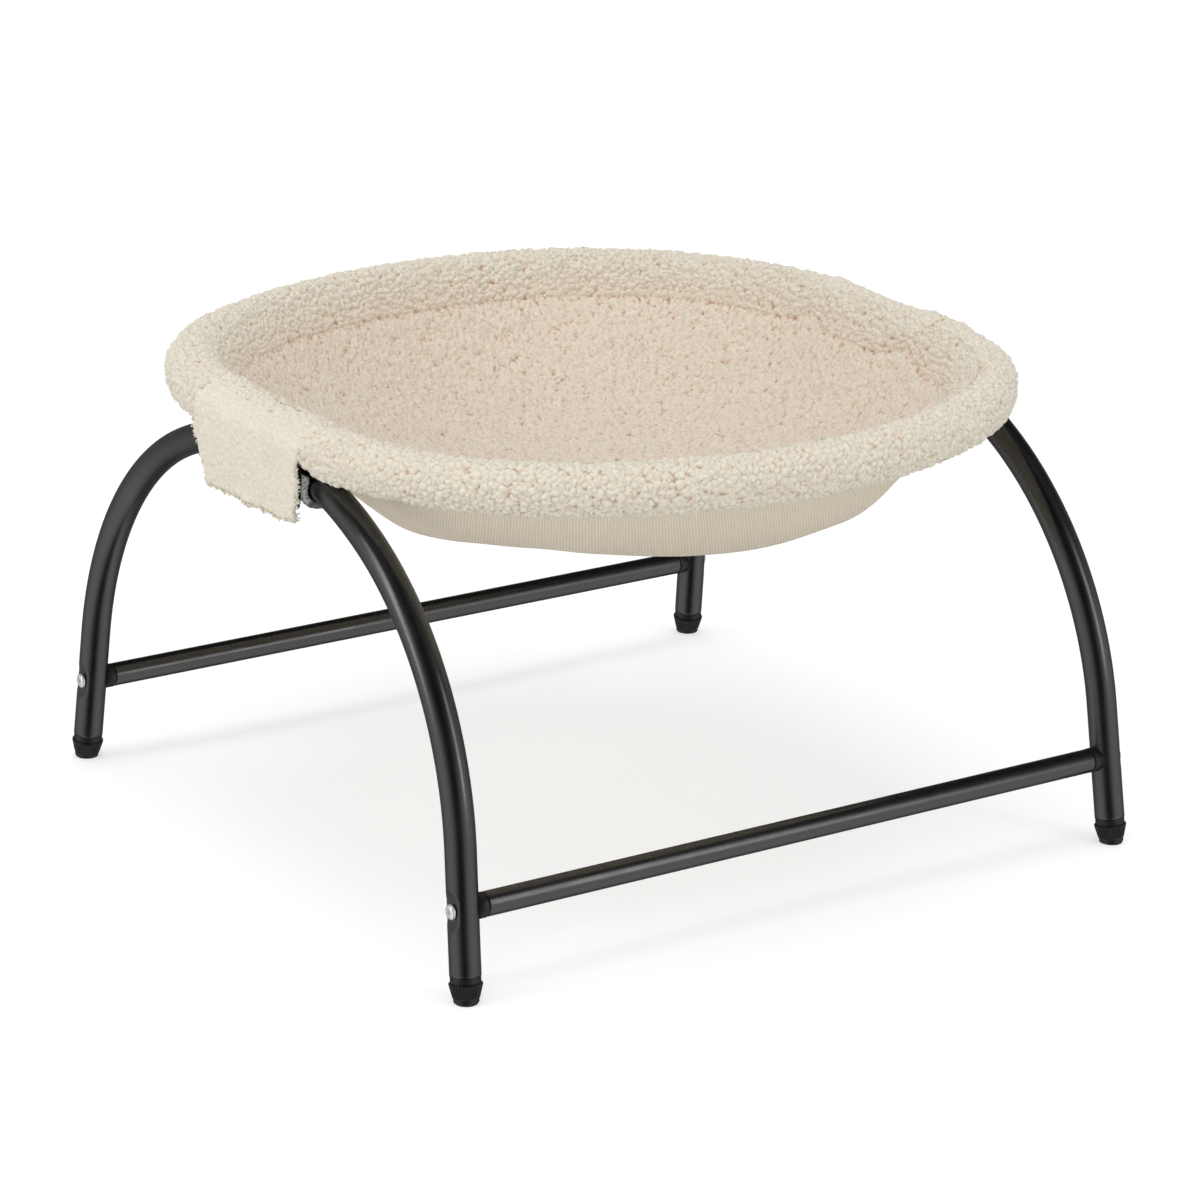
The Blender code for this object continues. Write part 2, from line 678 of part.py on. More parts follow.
def rivet_profile():
    """Closed half outline of a rivet nut set in the hoop's lower wall."""
    neck = INSERT_DIAMETER / 2
    flange = RIVET_FLANGE_DIAMETER / 2
    low = HOOP_RISE - HOOP_RADIUS
    flange_foot = low + HOOP_WALL + GAP + (HOOP_RADIUS - HOOP_WALL) * (
        1 - math.sqrt(1 - (flange / (HOOP_RADIUS - HOOP_WALL)) ** 2))
    return [(neck, low + INSERT_LENGTH), (neck, flange_foot + RIVET_FLANGE_HEIGHT),
            (flange, flange_foot + RIVET_FLANGE_HEIGHT), (flange, flange_foot),
            (neck, flange_foot), (neck, low), (BORE_RADIUS, low),
            (BORE_RADIUS, low + INSERT_LENGTH)]


def build_hoops():
    """Two half hoops with a hole for a rivet nut near each end."""
    bores = []
    for side, (_, plane) in SIDES.items():
        for end in ENDS:
            name = corner_name(side, end)
            mesh = cylinder_mesh(name + "_rivet_bore", INSERT_DIAMETER / 2 + GAP,
                                 CROWN_HEIGHT, HOOP_RISE, INSERT_SIDES)
            bores.append(mesh_object(name + "_rivet_bore", mesh, None, plane,
                                     (0, end * HOOP_BOLT_OFFSET, 0)))
    for name, turn in (("rear_hoop", 0), ("front_hoop", math.pi)):
        mesh = tube_mesh(name, hoop_path(GAP / 2, HOOP_Z), HOOP_RADIUS, HOOP_SIDES, caps=False)
        hoop = mesh_object(name, mesh, POWDER_COAT, ROOT, rotation=(0, 0, turn))
        add_wall(hoop, HOOP_WALL)
        cut(hoop, *[bore for bore in bores if bore.name.startswith(name.split("_")[0])])


def build_hoop_fasteners():
    """A bolt up through each crown into a rivet nut in each hoop end."""
    for side, (_, plane) in SIDES.items():
        for end in ENDS:
            name = corner_name(side, end)
            turned(name + "_rivet_nut", rivet_profile(), INSERT_SIDES, ZINC, plane,
                   (0, end * HOOP_BOLT_OFFSET, 0), (0, 0, 0), closed=True)
            turned(name + "_hoop_bolt", bolt_profile(HOOP_BOLT_TOP - HOOP_BOLT_SEAT),
                   BOLT_SIDES, ZINC, plane, (0, end * HOOP_BOLT_OFFSET, HOOP_BOLT_SEAT),
                   (math.pi, 0, 0))


# Sleeves and wraps: the fleece round the hoop

def sleeve_cutters():
    """The hoop's bore, and the room that each arch takes under the fleece."""
    bores = {}
    for name, turn in (("rear", 0), ("front", math.pi)):
        mesh = tube_mesh(name + "_hoop_room", hoop_path(-MOUTH_WIDTH, HOOP_Z),
                         HOOP_RADIUS + GAP, HOOP_SIDES)
        bores[name] = mesh_object(name + "_hoop_room", mesh, rotation=(0, 0, turn))
    rooms = {}
    for side, (_, plane) in SIDES.items():
        points = [point for point in arch_path() if point.z > CROWN_HEIGHT / 2]
        mesh = tube_mesh(side + "_arch_room", points, LEG_RADIUS + GAP, LEG_SIDES)
        rooms[side] = mesh_object(side + "_arch_room", mesh, None, plane)
    return bores, rooms


def crown_band(name, half):
    """A block across the whole bed over the crowns, so far to front and rear."""
    corner = (FOOT_SPREAD_X, half, 2 * CROWN_HEIGHT)
    return mesh_object(name, box_mesh(name, (-FOOT_SPREAD_X, -half, 0), corner))


def build_sleeves():
    """Fleece sleeves over the hoop halves, and a wrap over each crown."""
    bores, rooms = sleeve_cutters()
    mouths = crown_band("mouths", MOUTH_HALF)
    for name, turn in (("rear", 0), ("front", math.pi)):
        path = hoop_path(MOUTH_HALF - OVERRUN, SLEEVE_Z)
        mesh = tube_mesh(name + "_sleeve", path, SLEEVE_RADIUS, SLEEVE_SIDES)
        sleeve = mesh_object(name + "_sleeve", mesh, FLEECE, ROOT, rotation=(0, 0, turn))
        cut(sleeve, mouths, bores[name], *rooms.values())
    band = crown_band("wrap_band", MOUTH_HALF - GAP)
    for side, (parent, plane) in SIDES.items():
        mesh = tube_mesh(side + "_wrap", seat_path(MOUTH_HALF + OVERRUN, SLEEVE_Z),
                         SLEEVE_RADIUS, SLEEVE_SIDES)
        wrap = mesh_object(side + "_wrap", mesh, FLEECE, parent)
        mesh = tube_mesh(side + "_seat_room", seat_path(MOUTH_WIDTH, HOOP_Z),
                         HOOP_RADIUS + GAP, HOOP_SIDES)
        room = mesh_object(side + "_seat_room", mesh, None, parent)
        slit = box_mesh(side + "_wrap_slit", (-WRAP_SLIT / 2, -MOUTH_WIDTH, CROWN_HEIGHT),
                        (WRAP_SLIT / 2, MOUTH_WIDTH, HOOP_RISE))
        keep(wrap, band)
        cut(wrap, room, rooms[side], mesh_object(side + "_wrap_slit", slit, None, plane))


# Flaps, hook tapes and loop tapes

def flap_mesh(name):
    """A hanging panel with its hinge at the origin and a slanting lower hem.

    The hem is deepest at the rear of the left flap and the front of the right.
    """
    half = FLAP_THICKNESS / 2
    mesh = box_mesh(name, (-half, -MOUTH_HALF, -FLAP_SHORT_DROP), (half, MOUTH_HALF, half))
    for vertex in mesh.vertices:
        if vertex.co.z < 0 and vertex.co.y < 0:
            vertex.co.z = -FLAP_LONG_DROP
    return mesh


def build_flaps():
    """The fleece flap on each side, with the hook tape sewn inside it."""
    for side, (_, plane) in SIDES.items():
        hinge = empty(side + "_flap_hinge", plane, (HINGE_OUT, 0, HINGE_RISE))
        flap = mesh_object(side + "_flap", flap_mesh(side + "_flap"), FLEECE, hinge)
        edge = flap.modifiers.new("soft_edge", "BEVEL")
        edge.width = FLAP_THICKNESS * FLAP_EDGE_SHARE
        edge.segments = 2
        back = -(FLAP_THICKNESS / 2 + GAP)
        top = -HOOK_TOP_DROP
        low = (back - TAPE_THICKNESS, -TAPE_WIDTH / 2, top - HOOK_HEIGHT)
        mesh_object(side + "_hook_tape",
                    box_mesh(side + "_hook_tape", low, (back, TAPE_WIDTH / 2, top)),
                    HOOK_TAPE, hinge)


def loop_tape_mesh(name):
    """Open skin of the loop tape: a half circle swept along the crown."""
    half_turn = math.asin(min(1, TAPE_WIDTH / 2 / CROWN_RADIUS))
    centre = CROWN_HEIGHT - CROWN_RADIUS
    points = []
    for i in range(TAPE_STEPS + 1):
        turn = half_turn * (2 * i / TAPE_STEPS - 1)
        for j in range(TAPE_ARC_STEPS + 1):
            swing = math.pi * j / TAPE_ARC_STEPS
            out = LOOP_RADIUS * math.cos(swing)
            reach = CROWN_RADIUS - LOOP_DROP - LOOP_RADIUS * math.sin(swing)
            points.append((out, reach * math.sin(turn), centre + reach * math.cos(turn)))
    row = TAPE_ARC_STEPS + 1
    faces = [(i * row + j, i * row + j + 1, (i + 1) * row + j + 1, (i + 1) * row + j)
             for i in range(TAPE_STEPS) for j in range(TAPE_ARC_STEPS)]
    mesh = bpy.data.meshes.new(name)
    mesh.from_pydata(points, [], faces)
    return mesh


def build_loop_tapes():
    """A loop tape slung under each crown and up its outer side."""
    for side, (_, plane) in SIDES.items():
        tape = mesh_object(side + "_loop_tape", loop_tape_mesh(side + "_loop_tape"),
                           LOOP_TAPE, plane)
        wall = tape.modifiers.new("wall", "SOLIDIFY")
        wall.thickness = TAPE_THICKNESS
        wall.offset = 1
        wall.use_even_offset = True


# Bowl

def tuck_at(distance, crown, front):
    """Inset from the hoop line: one value at the crowns, another in front."""
    share = (abs(distance) - TUCK_START) / (TUCK_END - TUCK_START)
    share = max(0, min(1, share))
    share = share * share * (3 - 2 * share)
    return crown + (front - crown) * share


def bowl_mesh(name, crown, front, floor, brim):
    """Open skin of the bowl: rings shrinking to the middle of its floor.

    Each ring is the hoop's plan, inset and shrunk to a share of its size, at
    a height that rises from the floor with a fixed power of that share.
    """
    half = hoop_outline(0)
    outline = [point - normal * tuck_at(point.y, crown, front) for point, normal in half[:-1]]
    outline += [-point for point in outline]
    count = len(outline)
    points = [(0, 0, floor)]
    for ring in range(1, BOWL_RINGS + 1):
        share = (ring / BOWL_RINGS) ** RING_CROWDING
        height = floor + (brim - floor) * share ** BOWL_STEEPNESS
        points += [(share * point.x, share * point.y, height) for point in outline]
    faces = [(0, 1 + (i + 1) % count, 1 + i) for i in range(count)]
    for ring in range(BOWL_RINGS - 1):
        inner = 1 + ring * count
        outer = inner + count
        faces += [(inner + i, inner + (i + 1) % count, outer + (i + 1) % count, outer + i)
                  for i in range(count)]
    mesh = bpy.data.meshes.new(name)
    mesh.from_pydata(points, [], faces)
    return mesh


def build_bowl():
    """The rib-knit underside and the fleece liner that lies in it."""
    brim = SLEEVE_Z - SLEEVE_RADIUS - GAP - UNDERSIDE_THICKNESS
    skin = bowl_mesh("underside", CROWN_TUCK, FRONT_TUCK, UNDERSIDE_FLOOR, brim)
    underside = mesh_object("underside", skin, RIB_KNIT, ROOT)
    add_wall(underside, UNDERSIDE_THICKNESS)
    inset = SLEEVE_RADIUS + GAP
    floor = UNDERSIDE_FLOOR + UNDERSIDE_THICKNESS + SKIN_GAP
    pile = bowl_mesh("bowl_liner", inset, inset, floor, SLEEVE_Z)
    liner = mesh_object("bowl_liner", pile, FLEECE, ROOT)
    add_wall(liner, LINER_THICKNESS)


build_arches()
build_feet()
build_crossbars()
build_bar_ends()
build_hoops()
build_hoop_fasteners()
build_sleeves()
build_flaps()
build_loop_tapes()
build_bowl()
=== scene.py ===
"""The looks of the elevated pet bed: fine tubes, curly fleece and a rib knit.

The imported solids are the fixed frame. Each class is one sub-assembly: it holds
its sizes in metres and builds its surfaces as whole numpy grids. The finishes
are small frozen classes that make procedural materials.

+X runs from the left arch to the right one, -Y is the front, +Z is up.
"""
import logging
import math
from dataclasses import dataclass
from enum import Enum

import bmesh
import bpy
import numpy as np
from mathutils import Matrix


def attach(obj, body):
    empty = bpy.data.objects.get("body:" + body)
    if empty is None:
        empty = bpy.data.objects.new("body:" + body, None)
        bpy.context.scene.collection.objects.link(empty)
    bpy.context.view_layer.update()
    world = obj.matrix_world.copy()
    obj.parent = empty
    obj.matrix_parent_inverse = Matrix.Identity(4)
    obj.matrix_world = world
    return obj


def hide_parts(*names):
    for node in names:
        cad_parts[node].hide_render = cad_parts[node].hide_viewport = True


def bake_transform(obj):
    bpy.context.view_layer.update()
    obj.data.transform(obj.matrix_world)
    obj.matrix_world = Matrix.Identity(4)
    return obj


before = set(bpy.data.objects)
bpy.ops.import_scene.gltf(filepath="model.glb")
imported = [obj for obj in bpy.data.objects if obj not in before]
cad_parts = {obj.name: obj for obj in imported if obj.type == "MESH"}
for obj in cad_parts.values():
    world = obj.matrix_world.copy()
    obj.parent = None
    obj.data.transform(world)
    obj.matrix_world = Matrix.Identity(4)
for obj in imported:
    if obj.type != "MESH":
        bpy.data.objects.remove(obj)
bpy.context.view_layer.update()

Array = np.ndarray
Colour = tuple[float, float, float]
Piece = bpy.types.Object
Socket = bpy.types.NodeSocket
Tree = bpy.types.NodeTree

LOG = logging.getLogger("pet_bed")
MM = 0.001
TURN = 2 * math.pi
NO_EDGE = 1e-7
UP = np.array([0.0, 0.0, 1.0])

# A curl's dome, the crevice round it and how far curls differ
DOME_TOP, DOME_FALL = 1.08, 1.15
CREVICE_SLOPE, CREVICE_POWER, CREVICE_DEPTH = 3.6, 0.7, 0.7
VIGOUR_SPREAD = 0.3


class Side(Enum):
    """The two arches; the left one is the right one turned half way round."""

    RIGHT = 1
    LEFT = -1

    @property
    def word(self) -> str:
        """The side's name inside the names of pieces."""
        return self.name.lower()


class End(Enum):
    """The rear and the front of the bed."""

    REAR = 1
    FRONT = -1

    @property
    def word(self) -> str:
        """The end's name inside the names of pieces."""
        return self.name.lower()


class Form(Enum):
    """How a grid joins up: whether its rows and its columns close."""

    SHEET = (False, False)
    TUBE = (False, True)
    BELT = (True, False)
    RING = (True, True)


# Shares and vectors


def smooth_step(share: Array) -> Array:
    """Ease a share from 0 to 1 with flat ends."""
    held = np.clip(share, 0, 1)
    return held * held * (3 - 2 * held)


def rounded(share: Array) -> Array:
    """Rise from 0 to 1 along a quarter circle."""
    return np.sqrt(1 - (1 - np.clip(share, 0, 1)) ** 2)


def bell(distance: Array, spread: float) -> Array:
    """A hump of height 1: the exponential of minus the square of the ratio."""
    return np.exp(-(distance / spread) ** 2)


def unit(vectors: Array, least: float = NO_EDGE) -> Array:
    """Vectors scaled to a length of 1."""
    return vectors / np.maximum(np.linalg.norm(vectors, axis=-1, keepdims=True), least)


def circle(sides: int) -> Array:
    """Angles spaced evenly round a full turn."""
    return np.arange(sides) / sides * TURN


def towards(angle: Array, degrees: float, least: float, ease: float) -> Array:
    """A share that is 1 near one direction, by the cosine of the turn from it."""
    return smooth_step((np.cos(angle - math.radians(degrees)) - least) / ease)


def spokes(angle: Array, first: Array, second: Array) -> Array:
    """Directions: the angle's cosine along one axis, its sine along the other."""
    cosine, sine = np.cos(angle)[:, None], np.sin(angle)[:, None]
    return cosine * first[..., None, :] + sine * second[..., None, :]


def lifted(plan: Array, height: Array | float) -> Array:
    """Add a height to plan points or directions."""
    return np.concatenate([plan, np.broadcast_to(height, plan.shape[:-1])[..., None]], axis=-1)


def lattice_value(cells: Array, seed: int) -> Array:
    """A steady pseudo-random share for each whole-number cell.

    The cell numbers are multiplied by odd constants, added and mixed by
    shifts, and the low 32 bits are read as a share of one.

    Args:
        cells: Whole numbers, with the three axes last.
        seed: Chooses one of many such fields.

    Returns:
        Shares from 0 to 1.
    """
    mask = np.int64(0xFFFFFFFF)
    mixed = (cells[..., 0] * 374761393 + cells[..., 1] * 668265263
             + cells[..., 2] * 1442695041 + seed * 974634777) & mask
    for shift, factor in ((13, 1274126177), (15, 668265263)):
        mixed = ((mixed ^ (mixed >> shift)) * factor) & mask
    return ((mixed ^ (mixed >> 16)) & mask) / float(mask)


def soft_noise(points: Array, size: float, seed: int) -> Array:
    """Smooth noise from -1 to 1, blended between the corners of each cell.

    Args:
        points: Places in metres, with the three axes last.
        size: Width of one cell in metres.
        seed: Chooses the field.

    Returns:
        One value for each place.
    """
    scaled = points / size
    base = np.floor(scaled).astype(np.int64)
    share = smooth_step(scaled - base)
    total = np.zeros(points.shape[:-1])
    for corner in np.ndindex(2, 2, 2):
        offset = np.array(corner)
        weight = np.prod(np.where(offset == 1, share, 1 - share), axis=-1)
        total += weight * lattice_value(base + offset, seed)
    return 2 * total - 1


def ripples(points: Array, waves: tuple) -> Array:
    """Sum of smooth noises, each with a height and a cell in mm and a seed."""
    return sum(height * MM * soft_noise(points, cell * MM, seed) for height, cell, seed in waves)


def humps(plan: Array, places: tuple, widening: float = 1.0) -> Array:
    """Sum of bells over a plan.

    Args:
        plan: Plan places in metres, with two axes last.
        places: Each bell's plan x and y, height and spread in mm.
        widening: How many times wider than its spread a bell is.

    Returns:
        One height for each place.
    """
    total = np.zeros(plan.shape[:-1])
    for x, y, height, spread in places:
        away = np.linalg.norm(plan - np.array([x, y]) * MM, axis=-1)
        total += height * MM * bell(away, widening * spread * MM)
    return total


def curl_height(points: Array, size: float, seed: int) -> Array:
    """Height of curly pile: one rounded curl for each scattered seed point.

    Every cell holds one seed. A curl is a dome: its height falls with the
    square of the distance from its seed. A narrow crevice, where the second
    seed is almost as near as the nearest one, parts it from its neighbours.

    Args:
        points: Places in metres, with the three axes last.
        size: Mean width of a curl in metres.
        seed: Chooses the field.

    Returns:
        Heights from 0 to 1.
    """
    scaled = points / size
    base = np.floor(scaled).astype(np.int64)
    nearest = np.full(points.shape[:-1], np.inf)
    second = nearest.copy()
    vigour = np.zeros(points.shape[:-1])
    for step in np.ndindex(3, 3, 3):
        cell = base + np.array(step) - 1
        spot = np.stack([lattice_value(cell, seed + k) for k in range(3)], axis=-1)
        away = np.linalg.norm(cell + spot - scaled, axis=-1)
        closer = away < nearest
        second = np.where(closer, nearest, np.minimum(second, away))
        vigour = np.where(closer, lattice_value(cell, seed + 3), vigour)
        nearest = np.where(closer, away, nearest)
    dome = np.clip(DOME_TOP - DOME_FALL * nearest ** 2, 0, 1)
    crevice = np.clip((second - nearest) * CREVICE_SLOPE, 0, 1) ** CREVICE_POWER
    return dome * (1 - CREVICE_DEPTH * (1 - crevice)) * (1 - VIGOUR_SPREAD * (1 - vigour))


@dataclass(frozen=True)
class Pile:
    """The curly pile that stands on a piece of fleece."""

    depth: float = 3.8 * MM
    curl: float = 4.3 * MM
    small_curl: float = 2.5 * MM
    small_share: float = 0.26
    wander: float = 0.6 * MM
    wander_cell: float = 5.0 * MM
    seed: int = 11

    def height(self, points: Array) -> Array:
        """Share of the pile's full depth at each place.

        The places are first nudged by smooth noise, so that curls are bent
        and uneven, and then large and small curls are added.

        Args:
            points: Places in metres.

        Returns:
            Shares from 0 to 1.
        """
        nudge = [soft_noise(points, self.wander_cell, self.seed + 40 + k) for k in range(3)]
        bent = points + self.wander * np.stack(nudge, axis=-1)
        large = curl_height(bent, self.curl, self.seed)
        small = curl_height(bent, self.small_curl, self.seed + 7)
        return np.clip((1 - self.small_share) * large + self.small_share * small, 0, 1)


# Meshes


def grid_normals(points: Array, axis: int, form: Form = Form.SHEET) -> Array:
    """Unit normals of a grid, from the cross product of its two differences.

    Args:
        points: Rows by columns by three.
        axis: The axis that they point along, taken together.
        form: How the grid joins up.

    Returns:
        Rows by columns by three.
    """
    steps = [np.roll(points, -1, way) - np.roll(points, 1, way) if closed
             else np.gradient(points, axis=way) for way, closed in enumerate(form.value)]
    normal = unit(np.cross(steps[1], steps[0]), 1e-12)
    return normal * np.sign(normal[..., axis].mean())


def grid_faces(rows: int, columns: int, form: Form) -> Array:
    """Corner numbers of the four-sided faces between a grid's points.

    Args:
        rows: Number of rows.
        columns: Number of columns.
        form: How the grid joins up.

    Returns:
        Faces by four corner numbers.
    """
    i = np.arange(rows if form.value[0] else rows - 1)[:, None]
    j = np.arange(columns if form.value[1] else columns - 1)[None, :]
    ahead, beside = (i + 1) % rows, (j + 1) % columns
    corners = [i * columns + j, i * columns + beside, ahead * columns + beside, ahead * columns + j]
    return np.stack(np.broadcast_arrays(*corners), axis=-1).reshape(-1, 4)


def added(name: str, data: bpy.types.ID) -> Piece:
    """Put a new object that holds some data in the scene.

    Args:
        name: Name of the object.
        data: Its mesh, lamp or camera.

    Returns:
        The new object.
    """
    item = bpy.data.objects.new(name, data)
    bpy.context.scene.collection.objects.link(item)
    return item


def grid_object(name: str, points: Array, fields: dict[str, Array] | None = None,
                form: Form = Form.TUBE) -> Piece:
    """Make an object from one grid, or from several alike, and weld it.

    Args:
        name: Name of the piece.
        points: Rows by columns by three, after the number of grids if several.
        fields: Named values, one for each point, that its material reads.
        form: How a grid joins up. The faces of a closed one are turned out.

    Returns:
        The new object, at the origin.
    """
    rows, columns = points.shape[-3:-1]
    starts = np.arange(0, points.size // 3, rows * columns)[:, None, None]
    faces = (starts + grid_faces(rows, columns, form)).reshape(-1, 4)
    mesh = bpy.data.meshes.new(name)
    mesh.vertices.add(points.size // 3)
    mesh.vertices.foreach_set("co", np.ascontiguousarray(points, np.float32).reshape(-1))
    mesh.loops.add(faces.size)
    mesh.loops.foreach_set("vertex_index", np.ascontiguousarray(faces, np.int32).reshape(-1))
    mesh.polygons.add(len(faces))
    mesh.polygons.foreach_set("loop_start", np.arange(len(faces), dtype=np.int32) * 4)
    mesh.update(calc_edges=True)
    for field, values in (fields or {}).items():
        layer = mesh.attributes.new(field, "FLOAT", "POINT")
        layer.data.foreach_set("value", np.ascontiguousarray(values, np.float32).reshape(-1))
    shape = bmesh.new()
    shape.from_mesh(mesh)
    bmesh.ops.remove_doubles(shape, verts=shape.verts, dist=NO_EDGE)
    if form is not Form.SHEET:
        bmesh.ops.recalc_face_normals(shape, faces=shape.faces)
    shape.to_mesh(mesh)
    shape.free()
    mesh.validate()
    mesh.shade_smooth()
    return added(name, mesh)


def turned_grid(radius: Array, height: Array) -> Array:
    """A profile turned about +Z: each row is one circle.

    Args:
        radius: Rows by sides.
        height: One for each row.

    Returns:
        Rows by sides by three.
    """
    angle = circle(radius.shape[1])
    return lifted(np.stack([radius * np.cos(angle), radius * np.sin(angle)], axis=-1),
                  height.reshape(-1, 1))


def capped(points: Array, centre: Array) -> Array:
    """Close a swept surface on the first and the last point of its line."""
    ends = np.broadcast_to(centre[[0, -1], None], (2, *points.shape[1:]))
    return np.concatenate([ends[:1], points, ends[1:]])


def pinched(points: Array) -> Array:
    """Close a folded strip at both ends, on the middle between its faces.

    Args:
        points: Rows by columns by three; the second half of the columns
            goes back behind the first.

    Returns:
        The same with one more row at either end.
    """
    ends = points[[0, -1]]
    middle = (ends + ends[:, ::-1]) / 2
    return np.concatenate([middle[:1], points, middle[1:]])


def ends_kept(field: Array) -> Array:
    """Repeat a field's first and last rows, for the closed ends."""
    return np.pad(field, ((1, 1), (0, 0)), mode="edge")


@dataclass(frozen=True)
class Finish:
    """A material, and the name of the slot that it is meant for."""

    material: bpy.types.Material
    slot: str


def dress(item: Piece, finish: Finish) -> None:
    """Give an object one material alone."""
    item.data.materials.clear()
    item.data.materials.append(finish.material)


def finished(item: Piece, finish: Finish, body: str, *nodes: str) -> Piece:
    """Dress a piece, hang it on its body and hide the solids that it stands for.

    Args:
        item: The piece.
        finish: Its material and slot.
        body: The body that it moves with.
        nodes: Solids that it replaces.

    Returns:
        The same piece.
    """
    dress(item, finish)
    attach(item, body)
    if nodes:
        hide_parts(*nodes)
    LOG.info("%s: %d faces on %s", item.name, len(item.data.polygons), body)
    return item


# Materials


class Graph:
    """A node tree with short calls to add nodes and join their sockets."""

    def __init__(self, tree: Tree) -> None:
        """Take a tree and empty it."""
        self.tree = tree
        tree.nodes.clear()

    def feed(self, node: bpy.types.Node, sockets: dict) -> None:
        """Set a node's inputs.

        Args:
            node: The node.
            sockets: Input names or numbers to values, colours or output sockets.
        """
        for name, value in sockets.items():
            target = node.inputs[name]
            if isinstance(value, Socket):
                self.tree.links.new(value, target)
            else:
                target.default_value = (*value, 1) if target.type == "RGBA" else value

    def add(self, kind: str, sockets: dict | None = None, **settings: object) -> bpy.types.Node:
        """Add a node.

        Args:
            kind: The node's type name, without the words that all share.
            sockets: Input names or numbers to values or to output sockets.
            settings: The node's own properties.

        Returns:
            The new node.
        """
        node = self.tree.nodes.new("ShaderNode" + kind)
        for name, value in settings.items():
            setattr(node, name, value)
        self.feed(node, sockets or {})
        return node

    def maths(self, operation: str, *values: object) -> Socket:
        """One arithmetic step on values or sockets."""
        return self.add("Math", dict(enumerate(values)), operation=operation).outputs[0]

    def vector(self, operation: str, *values: object) -> Socket:
        """One step on vectors, which gives a vector."""
        return self.add("VectorMath", dict(enumerate(values)), operation=operation).outputs[0]

    def weighed(self, *parts: tuple[Socket, float]) -> Socket:
        """Add values, each times its own weight.

        Args:
            parts: Pairs of a socket and its weight.

        Returns:
            The sum's socket.
        """
        total = 0.0
        for value, weight in parts:
            total = self.maths("MULTIPLY_ADD", value, weight, total)
        return total

    def mix(self, share: Socket, low: object, high: object, blend: str = "MIX") -> Socket:
        """Mix two colours by a share."""
        return self.add("Mix", {0: share, 6: low, 7: high}, data_type="RGBA",
                        blend_type=blend).outputs[2]

    def field(self, name: str) -> Socket:
        """Read one of the mesh's named fields."""
        return self.add("Attribute", attribute_name=name).outputs["Fac"]

    def ramp(self, value: Socket, stops: list[tuple[float, Colour]]) -> Socket:
        """Turn a value into a colour.

        Args:
            value: The value's socket.
            stops: Places from 0 to 1 with their colours, in order.

        Returns:
            The colour's socket.
        """
        node = self.add("ValToRGB", {0: value})
        elements = node.color_ramp.elements
        for element, (place, colour) in zip(elements, (stops[0], stops[-1])):
            element.position = place
            element.color = (*colour, 1)
        for place, colour in stops[1:-1]:
            elements.new(place).color = (*colour, 1)
        return node.outputs[0]

    def relief(self, height: Socket, depth: float, strength: float) -> Socket:
        """Normals for a relief of some height, depth in metres and strength."""
        return self.add("Bump", {"Height": height, "Distance": depth,
                                 "Strength": strength}).outputs[0]


def new_group(name: str, inputs: list[str], outputs: list[str]) -> tuple:
    """Start a shared shader group of plain values.

    Args:
        name: The group's name.
        inputs: Input names.
        outputs: Output names.

    Returns:
        The graph, the sockets of its input node and its output node.
    """
    tree = bpy.data.node_groups.new(name, "ShaderNodeTree")
    graph = Graph(tree)
    for way, labels in (("INPUT", inputs), ("OUTPUT", outputs)):
        for label in labels:
            tree.interface.new_socket(label, in_out=way, socket_type="NodeSocketFloat")
    return graph, tree.nodes.new("NodeGroupInput").outputs, tree.nodes.new("NodeGroupOutput")


def grain_group() -> Tree:
    """Fine and broad mottling, shared by the coat, the plastic and the zinc.

    Returns:
        The group, whose two outputs are smooth noises of their own scales.
    """
    graph, given, result = new_group("fine_grain", ["Fine", "Broad"], ["Fine mask", "Broad mask"])
    place = graph.add("TexCoord").outputs["Object"]
    for scale in ("Fine", "Broad"):
        noise = graph.add("TexNoise", {"Vector": place, "Scale": given[scale], "Detail": 3.0,
                                       "Roughness": 0.55})
        graph.feed(result, {scale + " mask": noise.outputs["Fac"]})
    return graph.tree


def fuzz_group() -> Tree:
    """Small curls and fibres, shared by the fleece, the tapes and the knit.

    A curl is a dome whose height falls with the square of the distance from
    its middle, cut by a narrow crevice where it meets the next one. The
    places are first bent by noise, so that no two curls are alike.

    Returns:
        The group, whose outputs are heights and one broad patchy value.
    """
    graph, given, result = new_group("fuzz", ["Loops", "Fibres"],
                                     ["Loop height", "Fibre height", "Patch"])
    place = graph.add("TexCoord").outputs["Object"]
    nudge = graph.add("TexNoise", {"Vector": place, "Scale": 300.0, "Detail": 1.0})
    shift = graph.add("VectorMath", {0: nudge.outputs["Color"], "Scale": 0.0011}, operation="SCALE")
    bent = graph.vector("ADD", place, shift.outputs[0])
    cell = {"Vector": bent, "Scale": given["Loops"]}
    middle = graph.add("TexVoronoi", {**cell, "Smoothness": 0.3}, feature="SMOOTH_F1")
    border = graph.add("TexVoronoi", cell, feature="DISTANCE_TO_EDGE")
    square = graph.maths("POWER", middle.outputs["Distance"], 2.0)
    dome = graph.add("MapRange", {"Value": square, "From Min": 0.70, "From Max": 0.0})
    crevice = graph.add("MapRange", {"Value": border.outputs["Distance"], "From Max": 0.22,
                                     "To Min": 0.55}, interpolation_type="SMOOTHSTEP")
    fibres = graph.add("TexNoise", {"Vector": bent, "Detail": 2.0, "Scale": given["Fibres"]})
    patch = graph.add("TexNoise", {"Vector": place, "Scale": 22.0, "Detail": 3.0})
    graph.feed(result, {"Loop height": graph.maths("MULTIPLY", dome.outputs[0], crevice.outputs[0]),
                        "Fibre height": fibres.outputs["Fac"], "Patch": patch.outputs["Fac"]})
    return graph.tree


def new_material(name: str, kind: str = "BsdfPrincipled") -> tuple:
    """Start a material around one shader.

    Args:
        name: The material's name.
        kind: The shader's node type.

    Returns:
        The material, its graph and its shader node.
    """
    made = bpy.data.materials.new(name)
    made.use_nodes = True
    graph = Graph(made.node_tree)
    shader = graph.add(kind)
    graph.add("OutputMaterial", {0: shader.outputs[0]})
    return made, graph, shader


